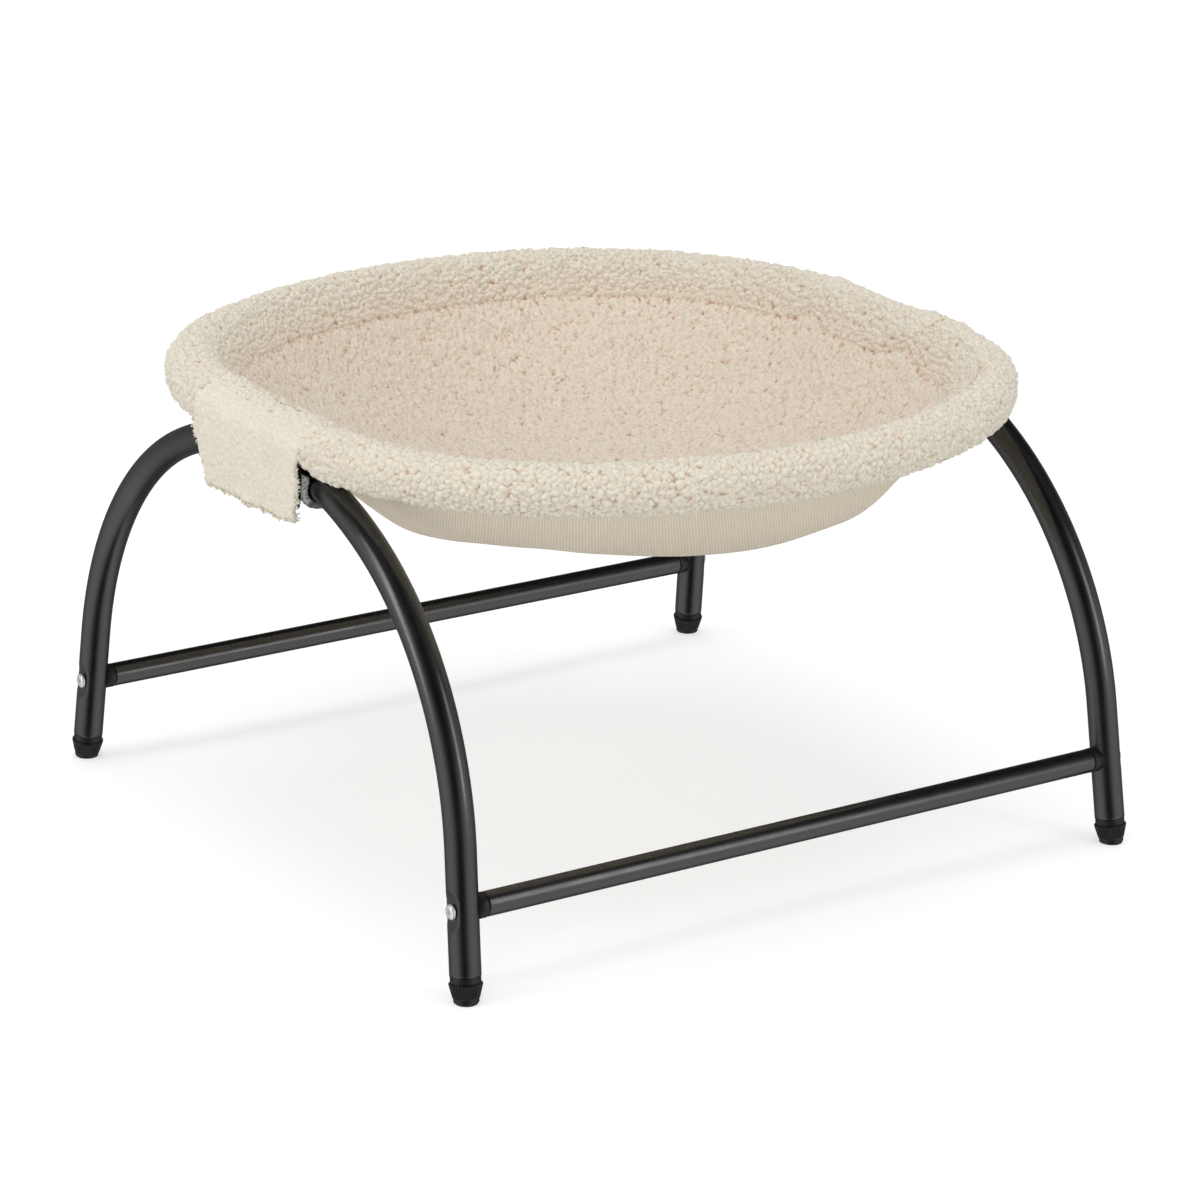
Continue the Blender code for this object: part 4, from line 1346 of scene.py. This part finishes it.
        # The back face has a pile field of 0: the fleece's darkest colour, painted shade.
        field = np.concatenate([height, 0 * height], axis=1)
        return grid_object(side.word + "_wrap_fleece", pinched(points),
                           {"pile": ends_kept(field)})

    def build(self, finishes: Finishes) -> None:
        """Make the sleeves and the wraps.

        Args:
            finishes: The bed's finishes.
        """
        for end in End:
            sleeve = finished(self.sleeve(end), finishes.fleece, "root", end.word + "_sleeve")
        for side in Side:
            wrap = finished(self.wrap(side), finishes.fleece, "root", side.word + "_wrap")


@dataclass
class Bowl:
    """The slung bowl: a sewn band, the fleece panel and the knit below."""

    hoop: HoopLine
    pile: Pile
    liner_floor: float = 215.4 * MM
    knit_floor: float = 208.0 * MM
    knit_brim: float = 283.1 * MM
    steepness: float = 3.4
    held_share: float = 0.12
    crowding: float = 0.9
    inset: float = 17.3 * MM
    seam: float = 0.955
    seam_climb: float = 0.028
    seam_under: float = 0.012
    crown_tuck: float = 15.5 * MM
    front_tuck: float = 3.0 * MM
    slack_tuck: float = 11.0 * MM
    slack_at: tuple[float, float] = (0.135, -0.222)
    slack_spread: float = 70.0 * MM
    tuck_lift: float = 0.55
    band_radius: float = 15.6 * MM
    band_leave: float = math.radians(42)
    band_rings: int = 1500
    rib_turn: float = math.radians(33.3)
    mean_radius: float = 0.24

    # Plan place, rise and spread in mm of the slack places in the hanging cloth
    SAGS = ((-128, -112, 10.0, 34), (-82, -146, 4.0, 24), (44, -182, -5.5, 38),
            (86, -190, -6.5, 20), (-180, -48, -6.5, 26), (150, -95, -1.5, 36),
            (182, 40, -4.5, 34), (110, 150, 5.5, 38), (-20, 186, -4.5, 40),
            (-140, 118, 5.0, 34), (0, -40, -3.5, 60), (60, 60, 2.5, 44))

    def disc(self, count: int) -> tuple[Array, Array]:
        """A square grid pulled into a disc, which keeps its faces even.

        The share is the larger of the two distances from the middle, and the
        turn is the smaller over the larger, in eighths of a circle.

        Args:
            count: Points along each side of the square.

        Returns:
            The share of the way out, and the turn as a share of a full one.
        """
        side = np.linspace(-1, 1, count)
        across, down = np.meshgrid(side, side, indexing="ij")
        share = np.maximum(np.abs(across), np.abs(down))
        safe = np.where(share < NO_EDGE, 1.0, share)
        wide = np.abs(across) >= np.abs(down)
        turn = np.where(wide, down, across) / safe / 8
        turn = np.select([wide & (across > 0), wide, down > 0],
                         [turn, 0.5 - turn, 0.25 - turn], 0.75 + turn)
        return share, np.mod(turn, 1.0)

    def tucked(self, point: Array) -> Array:
        """The underside's inset: more at the crowns and at one slack place in front.

        Args:
            point: Plan places on the hoop's line.

        Returns:
            Distances in from the line.
        """
        ease = smooth_step((np.abs(point[..., 1]) - 70 * MM) / (100 * MM))
        away = np.linalg.norm(point - np.array(self.slack_at), axis=-1)
        return (self.crown_tuck + (self.front_tuck - self.crown_tuck) * ease
                + self.slack_tuck * bell(away, self.slack_spread))

    def hung(self, share: Array, turn: Array, underside: bool = False) -> Array:
        """The bowl: the inset outline shrunk to a share, raised by a power of it.

        Args:
            share: Share of the outline's size.
            turn: Share of the way round the hoop.
            underside: Whether this is the knit, whose brim is lifted where it
                is tucked in.

        Returns:
            Places in the bed's frame.
        """
        point, normal = self.hoop.at_turn(turn)
        inset, floor, brim = np.full(share.shape, self.inset), self.liner_floor, self.hoop.level
        if underside:
            inset, floor = self.tucked(point), self.knit_floor
            brim = self.knit_brim + self.tuck_lift * (inset - self.front_tuck)
        plan = (point - normal * inset[..., None]) * share[..., None]
        rise = floor + (brim - floor) * share ** self.steepness
        slack = humps(plan, self.SAGS, math.sqrt(2)) * smooth_step((1 - share) / self.held_share)
        return lifted(plan, rise + slack)

    def seam_share(self, depth: Array) -> Array:
        """The seam's place: it climbs towards the rim by each wrap's ends."""
        return self.seam + self.seam_climb * bell(np.abs(depth) - 56 * MM, 17 * MM)

    def panel(self) -> Piece:
        """The fleece in the middle, out to just under the sewn band.

        Returns:
            The piece, a hung disc raised along its normals by the pile.
        """
        share, turn = self.disc(310)
        limit = self.seam_share(self.hoop.at_turn(turn)[0][..., 1])
        share = (limit + self.seam_under) * share ** self.crowding
        points = self.hung(share, turn)
        # The pile is lower near the seam: a real groove, which the material also darkens as painted
        # shade.
        height = self.pile.height(points) * (0.65 + 0.35 * smooth_step((limit - share) / 0.02))
        raised = points + grid_normals(points, 2) * (height * self.pile.depth)[..., None]
        # The inside field is 1 over the whole panel, for painted shade.
        return grid_object("bowl_panel_fleece", raised,
                           {"pile": height, "inside": np.ones(share.shape)}, Form.SHEET)

    def band(self) -> Piece:
        """The sewn band from the rim's inner shoulder down to the seam.

        Each section is a cubic curve that leaves the rim along its surface
        and meets the bowl along the bowl's, then returns just behind itself.

        Returns:
            The piece.
        """
        turn = np.arange(self.band_rings) / self.band_rings
        point, normal = self.hoop.at_turn(turn)
        sine, cosine = math.sin(self.band_leave), math.cos(self.band_leave)
        start = lifted(point - normal * self.band_radius * cosine,
                       self.hoop.level + self.band_radius * sine)
        share = self.seam_share(point[:, 1])
        stop = self.hung(share, turn)
        length = np.linalg.norm(stop - start, axis=-1, keepdims=True)
        leave = lifted(-normal * sine, -cosine) * length
        arrive = unit(self.hung(share - 0.02, turn) - stop) * length
        t = np.linspace(-0.12, 1, 40)[:, None]
        face = ((2 * t ** 3 - 3 * t ** 2 + 1) * start[:, None] + (t ** 3 - 2 * t ** 2 + t)
                * leave[:, None] + (3 * t ** 2 - 2 * t ** 3) * stop[:, None]
                + (t ** 3 - t ** 2) * arrive[:, None])
        up = grid_normals(face, 2, Form.BELT)
        ease = rounded((1 - t[:, 0]) / 0.13)
        # The pile is lower towards the seam: a real groove, which the material also darkens as
        # painted shade.
        height = self.pile.height(face) * (0.3 + 0.7 * ease)
        front = face + up * (height * self.pile.depth + 1.1 * MM * ease - 0.6 * MM)[..., None]
        back = face[:, ::-3] - up[:, ::-3] * 1.4 * MM
        # The hidden back face has a pile field of 0: the fleece's darkest colour, painted shade.
        hidden = np.zeros(back.shape[:2])
        # Painted shade inside the bowl grows down the band towards the seam; the back face has it
        # fully.
        inside = np.broadcast_to(smooth_step(t[:, 0] * 1.3 - 0.15), height.shape)
        fields = {"pile": np.concatenate([height, hidden], axis=1),
                  "inside": np.concatenate([inside, hidden + 1], axis=1)}
        return grid_object("inner_band_fleece", np.concatenate([front, back], axis=1), fields,
                           Form.RING)

    def underside(self) -> Piece:
        """The knit below, with fields that say where its ribs run.

        The ribs follow the cloth: the way out along it is the sum of short
        steps, each the root of its squared run and rise.

        Returns:
            The piece.
        """
        share, turn = self.disc(230)
        share = 1.015 * share ** self.crowding
        points = self.hung(share, turn, True)
        points[..., 2] += ripples(points, ((0.8, 30, 21),)) * smooth_step((1 - share) / 0.2)
        steps = np.linspace(0, 1.02, 400)
        slope = (self.knit_brim - self.knit_floor) * self.steepness * steps ** (self.steepness - 1)
        reach = np.cumsum(np.hypot(self.mean_radius, slope)) * steps[1]
        out = unit(self.hoop.at_turn(turn)[0]) * np.interp(share, steps, reach)[..., None]
        sine, cosine = math.sin(self.rib_turn), math.cos(self.rib_turn)
        fields = {"rib_across": (out @ [cosine, -sine])[:, ::-1],
                  "rib_along": (out @ [sine, cosine])[:, ::-1]}
        return grid_object("underside_knit", points[:, ::-1], fields, Form.SHEET)

    def build(self, finishes: Finishes) -> None:
        """Make the panel, the band and the underside.

        Args:
            finishes: The bed's finishes.
        """
        panel = finished(self.panel(), finishes.fleece, "root", "bowl_liner")
        band = finished(self.band(), finishes.fleece, "root")
        knit = finished(self.underside(), finishes.knit, "root", "underside")


# Flaps and tapes


@dataclass
class FlapClosure:
    """A flap over each crown, its hook tape, and the loop tape slung below."""

    arches: ArchFrame
    rim: RimFleece
    pile: Pile
    half_width: float = 66.0 * MM
    line_out: float = -0.135 * MM
    hinge_out: float = 19.665 * MM
    hinge_rise: float = 302.60 * MM
    short_drop: float = 42.3 * MM
    long_drop: float = 48.0 * MM
    wall: float = 1.4 * MM
    root_turn: float = math.radians(104)
    sunk_turn: float = math.radians(72)
    swell_turn: float = math.radians(60)
    sunk: float = 2.2 * MM
    arc_share: float = 0.46
    taper: float = 0.30
    taper_from: float = 0.22
    flare: float = 0.03
    root_spread: float = 0.040
    flap_pile: float = 0.55
    edge_roll: float = 2.6 * MM
    flap_length: float = 88.0 * MM
    tape_half: float = 65.0 * MM
    tape_roll: float = 2.2 * MM
    tape_hem: float = 0.06
    loop_radius: float = 13.57 * MM
    loop_wall: float = 1.5 * MM
    loop_drop: float = 0.9 * MM
    loop_rise: float = 9.0 * MM
    hook_top: float = 9.0 * MM
    hook_back: float = 2.8 * MM
    hook_height: float = 26.0 * MM
    hook_wall: float = 1.5 * MM
    squareness: float = 0.35
    threads: int = 900

    # Height and cell in mm and seed of the ragged sides, the hem and the hooks
    TUFTS, HEM = ((1.9, 5.5, 31), (0.9, 2.6, 33)), ((1.3, 8, 71), (0.9, 2.9, 73))
    HOOKS = ((0.25, 1.6, 51),)
    # A thread's thickness along its length, and its sides
    THINNING = (1, 1, 1, 1, 1, 0.95, 0.85, 0.7, 0.0)
    THREAD_SIDES = 4

    def fall(self, share: Array) -> Array:
        """How far down its straight part a share of the flap lies."""
        return np.clip((share - self.arc_share) / (1 - self.arc_share), 0, 1)

    def flap_middle(self, depth: Array, share: Array, side: Side) -> Array:
        """The flap's middle surface in its arch's plane.

        It starts just under the wrap's surface, follows a circle round the
        hoop that swells out to the hinge's reach, and from there it hangs
        straight down to a slanting hem.

        Args:
            depth: Place along the arch.
            share: From 0 at the root to 1 at the hem.
            side: Which arch.

        Returns:
            Places in the plane.
        """
        turn = self.root_turn * (1 - np.clip(share / self.arc_share, 0, 1))
        swell = smooth_step((self.swell_turn - turn) / self.swell_turn)
        plan = np.stack([0 * depth + side.value * self.rim.hoop.half_width,
                         side.value * depth], axis=-1)
        top = self.rim.wrap_radius(lifted(plan, self.rim.hoop.level)) - self.wall
        sunk = self.sunk * smooth_step((turn - self.sunk_turn) / (self.root_turn - self.sunk_turn))
        radius = top - sunk + (self.hinge_out - self.line_out - top) * swell
        slant = (self.long_drop - self.short_drop) * (0.5 - 0.5 * depth / self.half_width)
        hem = np.stack([depth, 0 * depth, 0 * depth], axis=-1)
        drop = self.short_drop + slant + ripples(hem, self.HEM)
        wave = 1.3 * MM * np.sin(depth / (34 * MM) + 0.6) + 0.9 * MM * np.sin(depth / (15 * MM))
        fall = self.fall(share)
        out = self.line_out + radius * np.cos(turn) + fall * fall * wave + 1.0 * MM * fall
        return np.stack([out, depth, self.hinge_rise + radius * np.sin(turn) - fall * drop],
                        axis=-1)

    def flap(self, side: Side) -> tuple[Piece, Array]:
        """One flap as a soft closed sheet, with the line of its free edge.

        Both faces leave the middle surface along its normal, by a thickness
        that falls to nothing along a quarter circle at all four edges. The
        cut sides are ragged, and one of them tapers to the hem.

        Args:
            side: Which arch.

        Returns:
            The piece, and points along its free edge.
        """
        depth, share = np.broadcast_arrays(
            np.linspace(-self.half_width, self.half_width, 150)[:, None], np.linspace(0, 1, 104))
        chart = np.stack([depth, share * 90 * MM, 0 * share], axis=-1)
        tuft = ripples(chart, self.TUFTS)
        ragged = depth + tuft * (depth / self.half_width) ** 5
        slant = np.clip((self.fall(share) - self.taper_from) / (1 - self.taper_from), 0, 1)
        ragged = ragged * np.where(ragged < 0, 1 - self.taper * slant, 1 + self.flare * slant)
        ragged = ragged * (1 + self.root_spread * (1 - smooth_step((share - 0.08) / 0.15)))
        middle = self.flap_middle(ragged, share, side)
        normal = grid_normals(middle, 0)
        edge = rounded(np.minimum(self.half_width - np.abs(depth),
                                  (1 - share) * self.flap_length) / self.edge_roll)
        height = self.pile.height(self.arches.placed(side, middle))
        stand = self.flap_pile * self.pile.depth * height
        outer = middle + normal * ((self.wall + stand) * edge)[..., None]
        inner = middle - normal * (self.wall * edge)[..., None]
        points = np.concatenate([outer, inner[:, ::-1]], axis=1)
        field = np.concatenate([0.35 + 0.65 * height, 0.45 + 0 * height], axis=1)
        item = grid_object(side.word + "_flap_fleece", self.arches.placed(side, points),
                           {"pile": field})
        free = [middle[0, 46:]] * 3 + [middle[:, -1]] * 2 + [middle[-1, :60:-1]]
        return item, self.arches.placed(side, np.concatenate(free))

    def frizz(self, side: Side, line: Array) -> Piece:
        """Loose curly threads along a flap's cut edge.

        Each thread is a thin tube along an arc: it leaves the edge in a
        random direction, mostly outboard, and turns over on itself.

        Args:
            side: Which arch.
            line: Points along the free edge.

        Returns:
            The piece.
        """
        dice = np.random.default_rng(17 if side is Side.LEFT else 29)
        place = line[dice.integers(0, len(line), self.threads)]
        away = unit(place - line.mean(0))
        outboard = np.array([0.7 * side.value, 0.0, 0.0])
        first = unit(away + 0.6 * dice.normal(size=away.shape) + outboard)
        bend = dice.normal(size=away.shape)
        bend = unit(bend - (bend * first).sum(-1, keepdims=True) * first)
        length = dice.uniform(3.0, 6.0, self.threads)[:, None] * MM
        swing = np.linspace(0, 1, 9) * dice.uniform(3.4, 6.0, self.threads)[:, None]
        thick = dice.uniform(0.36, 0.62, self.threads)[:, None, None, None] * MM
        sine, rest = np.sin(swing)[..., None], 1 - np.cos(swing)[..., None]
        first, bend = first[:, None], bend[:, None]
        middle = place[:, None] + (length / swing[:, -1:])[..., None] * (sine * first + rest * bend)
        other = np.cross(first, bend)
        inward = np.cross(other, (1 - rest) * first + sine * bend)
        ring = spokes(circle(self.THREAD_SIDES), inward, other)
        tubes = middle[:, :, None] + thick * np.array(self.THINNING)[:, None, None] * ring
        root = np.repeat(middle[:, :1, None], self.THREAD_SIDES, 2)
        points = np.concatenate([root, tubes], axis=1)
        return grid_object(side.word + "_flap_frizz", points, {"pile": np.ones(points.shape[:-1])})

    def hook_tape(self, side: Side) -> Piece:
        """The hook strip inside a flap: a thin slab with rough hooks.

        Its section is a rounded box: powers of the cosine and the sine.

        Args:
            side: Which arch.

        Returns:
            The piece.
        """
        turn, half_rise, half_wall = circle(28), self.hook_height / 2, self.hook_wall / 2
        across, along = (np.sign(wave) * np.abs(wave) ** self.squareness
                         for wave in (np.cos(turn), np.sin(turn)))
        depth = np.linspace(-self.tape_half, self.tape_half, 90)[:, None]
        kept = np.pad(np.ones((len(depth) - 2, 1)), ((1, 1), (0, 0)))
        local = np.stack([self.hinge_out - self.hook_back - half_wall + kept * half_wall * across,
                          depth + 0 * across, self.hinge_rise - self.hook_top - half_rise
                          + kept * half_rise * along], axis=-1)
        local[..., 0] += ripples(local, self.HOOKS) * kept
        edge = smooth_step((np.abs(along) - 0.86) / 0.06) + 0 * depth
        return grid_object(side.word + "_hook_strip", self.arches.placed(side, local),
                           {"edge": edge})

    def loop_tape(self, side: Side) -> Piece:
        """The loop strip slung under a crown: a half ring swept along it.

        The section goes round the outer face, which is fuzzy, and back along
        the inner one, so that the strip is closed.

        Args:
            side: Which arch.

        Returns:
            The piece.
        """
        arches = self.arches
        middle = self.loop_radius + self.loop_wall / 2
        swing = np.linspace(-self.loop_rise / middle, math.radians(184), 76)
        hem = np.clip(np.minimum(swing - swing[0], swing[-1] - swing) / self.tape_hem, 0, 1)
        half = self.loop_wall / 2 * rounded(hem)
        section = np.concatenate([swing, swing[::-1]])
        share = np.linspace(-1, 1, 150)[:, None]
        half_turn = math.asin(self.tape_half / arches.crown_radius)
        along = half_turn * (1.5 * share - 0.5 * share ** 3)
        rim = (half_turn - np.abs(along)) * arches.crown_radius
        rolled = self.tape_roll * smooth_step(1 - rim / (7 * MM)) * hem
        radius = np.concatenate([middle + half + 0 * along, (middle - half - rolled)[:, ::-1]],
                                axis=1)
        bent = np.maximum(section, 0)
        sunk = radius * np.sin(bent) + middle * np.minimum(section, 0)
        reach = arches.crown_radius - self.loop_drop - sunk
        base = np.stack([radius * np.cos(bent), reach * np.sin(along), arches.crown_height
                         - arches.crown_radius + reach * np.cos(along)], axis=-1)
        rough = curl_height(base, 1.7 * MM, 61) * 0.9 * MM * np.concatenate([hem, -hem])
        outward = np.stack([np.cos(bent) + 0 * along, -np.sin(bent) * np.sin(along),
                            -np.sin(bent) * np.cos(along)], axis=-1)
        points = pinched(base + rough[..., None] * outward)
        # The edge colour covers the bottom of the sling, within about 48 degrees of straight down,
        # with a ragged border.
        below = smooth_step((math.radians(48) - np.abs(section - math.pi / 2)) / 0.25)
        edge = np.clip(below - 0.5 * curl_height(base, 1.9 * MM, 67), 0, 1)
        return grid_object(side.word + "_loop_strip", arches.placed(side, points),
                           {"edge": ends_kept(edge)})

    def build(self, finishes: Finishes) -> None:
        """Make both flaps with their tapes and threads.

        Args:
            finishes: The bed's finishes.
        """
        for side in Side:
            name = side.word
            body = name + "_flap"
            loop = finished(self.loop_tape(side), finishes.loop, "root", name + "_loop_tape")
            hook = finished(self.hook_tape(side), finishes.hook, body, name + "_hook_tape")
            item, edge = self.flap(side)
            finished(item, finishes.fleece, body, name + "_flap")
            threads = finished(self.frizz(side, edge), finishes.fleece, body)
            item.parent = None
            hinge = self.arches.placed(side, np.array([self.hinge_out, 0.0, self.hinge_rise]))
            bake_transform(item)


# Studio


def looking(place: Array, back: Array, roll: float) -> Matrix:
    """A camera's or light's place and turn.

    Args:
        place: Where it stands.
        back: Direction from the target to it.
        roll: Turn about its own axis.

    Returns:
        The world matrix, whose columns are right, up and back.
    """
    right = unit(np.cross(UP, back))
    up = np.cross(unit(back), right)
    matrix = np.eye(4)
    matrix[:3] = np.stack([math.cos(roll) * right + math.sin(roll) * up,
                           math.cos(roll) * up - math.sin(roll) * right, unit(back), place], axis=1)
    return Matrix(matrix.tolist())


def seen_directly(graph: Graph) -> tuple[Socket, Socket]:
    """What looks at a surface: the camera, through glass too, or a shiny piece.

    Args:
        graph: The surface's or the world's graph.

    Returns:
        Sockets that are 1 for the camera and 1 for a mirrored look.
    """
    path = graph.add("LightPath").outputs
    seen = graph.maths("MAXIMUM", path["Is Camera Ray"], path["Is Transmission Ray"])
    return seen, path["Is Glossy Ray"]


@dataclass(frozen=True)
class Lamp:
    """One soft rectangular light that looks at the bed."""

    name: str
    place: tuple[float, float, float]
    size: tuple[float, float]
    power: float
    mirrored: bool = True
    target: tuple[float, float, float] = (0.0, 0.0, 0.15)

    def hang(self) -> None:
        """Add the light to the scene."""
        data = bpy.data.lights.new(self.name, "AREA")
        data.shape, data.energy = "RECTANGLE", self.power
        data.size, data.size_y = self.size
        item = added(self.name, data)
        item.visible_glossy = self.mirrored
        item.matrix_world = looking(self.place, np.subtract(self.place, self.target), 0.0)


@dataclass
class Studio:
    """The camera, a white floor that keeps the shadow, and soft lights."""

    camera_place: tuple[float, float, float] = (-1.64317, -2.51155, 1.16168)
    yaw: float = math.radians(33.325)
    pitch: float = math.radians(18.755)
    roll: float = math.radians(0.567)
    lens: float = 140.93
    floor_half: float = 6.0
    floor_drop: float = 0.15 * MM
    bounce_tone: float = 0.80
    floor_tone: float = 0.50
    floor_glow: float = 0.56
    sky: float = 0.60
    sun: float = 1.05
    sun_width: float = math.radians(42)
    to_camera: tuple[float, float, float] = (-0.552, -0.834, 0.0)

    # Brightness of the mirrored surround, from beyond the bed round to the camera
    WALL = ((0.0, 0.14), (0.2, 0.25), (0.5, 0.85), (0.8, 1.0), (0.92, 0.60),
            (0.97, 0.18), (1.0, 0.02))
    LAMPS = (Lamp("left_softbox", (-2.5, 0.5, 1.3), (0.6, 1.8), 15.0),
             Lamp("right_softbox", (1.2, -2.4, 1.2), (0.6, 1.8), 12.0),
             Lamp("front_softbox", (-1.9, -2.0, 1.0), (1.2, 1.0), 12.0, False))

    def set_camera(self) -> None:
        """Stand the camera where the photograph was taken from."""
        data = bpy.data.cameras.new("photo_camera")
        data.lens, data.sensor_width = self.lens, 36.0
        camera = added("photo_camera", data)
        level = math.cos(self.pitch)
        back = np.array([-level * math.sin(self.yaw), -level * math.cos(self.yaw),
                         math.sin(self.pitch)])
        camera.matrix_world = looking(self.camera_place, back, self.roll)
        bpy.context.scene.camera = camera

    def lay_floor(self) -> None:
        """A wide floor that the camera sees as white where nothing shades it.

        Shiny pieces mirror the lower half of the surround in its place.
        """
        side = np.array([-self.floor_half, self.floor_half])
        plan = np.stack(np.meshgrid(side, side), axis=-1)
        floor = grid_object("studio_floor", lifted(plan, -self.floor_drop), form=Form.SHEET)
        made, graph, both = new_material("white_floor", "AddShader")
        seen, _ = seen_directly(graph)
        tone = graph.maths("MULTIPLY_ADD", seen, self.floor_tone - self.bounce_tone,
                           self.bounce_tone)
        glow = graph.add("Emission", {"Color": (1, 1, 1), "Strength": graph.maths(
            "MULTIPLY", seen, self.floor_glow)})
        graph.feed(both, {0: graph.add("BsdfDiffuse", {"Color": tone}).outputs[0],
                          1: glow.outputs[0]})
        floor.data.materials.append(made)
        floor.visible_glossy = False

    def light(self) -> None:
        """A white surround for the camera, a grey one for the rest, and lamps.

        Shiny pieces mirror a surround that is dark overhead and towards the
        camera, white to both sides of it, and grey beyond the bed.
        """
        world = bpy.data.worlds.new("studio_world")
        bpy.context.scene.world = world
        world.use_nodes = True
        graph = Graph(world.node_tree)
        seen, glossy = seen_directly(graph)
        ahead = graph.add("TexCoord").outputs["Object"]
        height = graph.add("SeparateXYZ", {0: ahead}).outputs["Z"]
        ceiling = graph.add("MapRange", {"Value": height, "From Min": 0.10, "From Max": 0.60,
                                         "To Min": 1.0, "To Max": 0.15},
                            interpolation_type="SMOOTHSTEP").outputs[0]
        level = graph.vector("NORMALIZE", graph.vector("MULTIPLY", ahead, (1.0, 1.0, 0.0)))
        facing = graph.add("VectorMath", {0: level, 1: self.to_camera},
                           operation="DOT_PRODUCT").outputs["Value"]
        wall = graph.ramp(graph.maths("MULTIPLY_ADD", facing, 0.5, 0.5),
                          [(place, (tone,) * 3) for place, tone in self.WALL])
        mirrored = graph.maths("MULTIPLY", glossy, graph.maths("MULTIPLY", wall, ceiling))
        lit = graph.maths("MULTIPLY_ADD", glossy, -self.sky, self.sky)
        strength = graph.maths("MAXIMUM", graph.maths("MAXIMUM", seen, mirrored), lit)
        sky = graph.add("Background", {"Color": (1, 1, 1), "Strength": strength})
        graph.add("OutputWorld", {0: sky.outputs[0]})
        data = bpy.data.lights.new("overhead_light", "SUN")
        data.energy, data.angle = self.sun, self.sun_width
        added("overhead_light", data).visible_glossy = False
        for lamp in self.LAMPS:
            lamp.hang()

    def build(self) -> None:
        """Set up the whole studio."""
        self.set_camera()
        self.lay_floor()
        self.light()
        bpy.context.scene.view_settings.view_transform = "Standard"


def main() -> None:
    """Build the bed's pieces in order, then the studio."""
    logging.basicConfig(level=logging.INFO, format="%(name)s: %(message)s")
    finishes = Finishes()
    arches, hoop, pile = ArchFrame(), HoopLine(), Pile()
    rim = RimFleece(arches, hoop, pile)
    for assembly in (arches, FootCaps(arches), Crossbars(arches), rim, Bowl(hoop, pile),
                     FlapClosure(arches, rim, pile)):
        assembly.build(finishes)
    Studio().build()


if __name__ == "__main__":
    main()
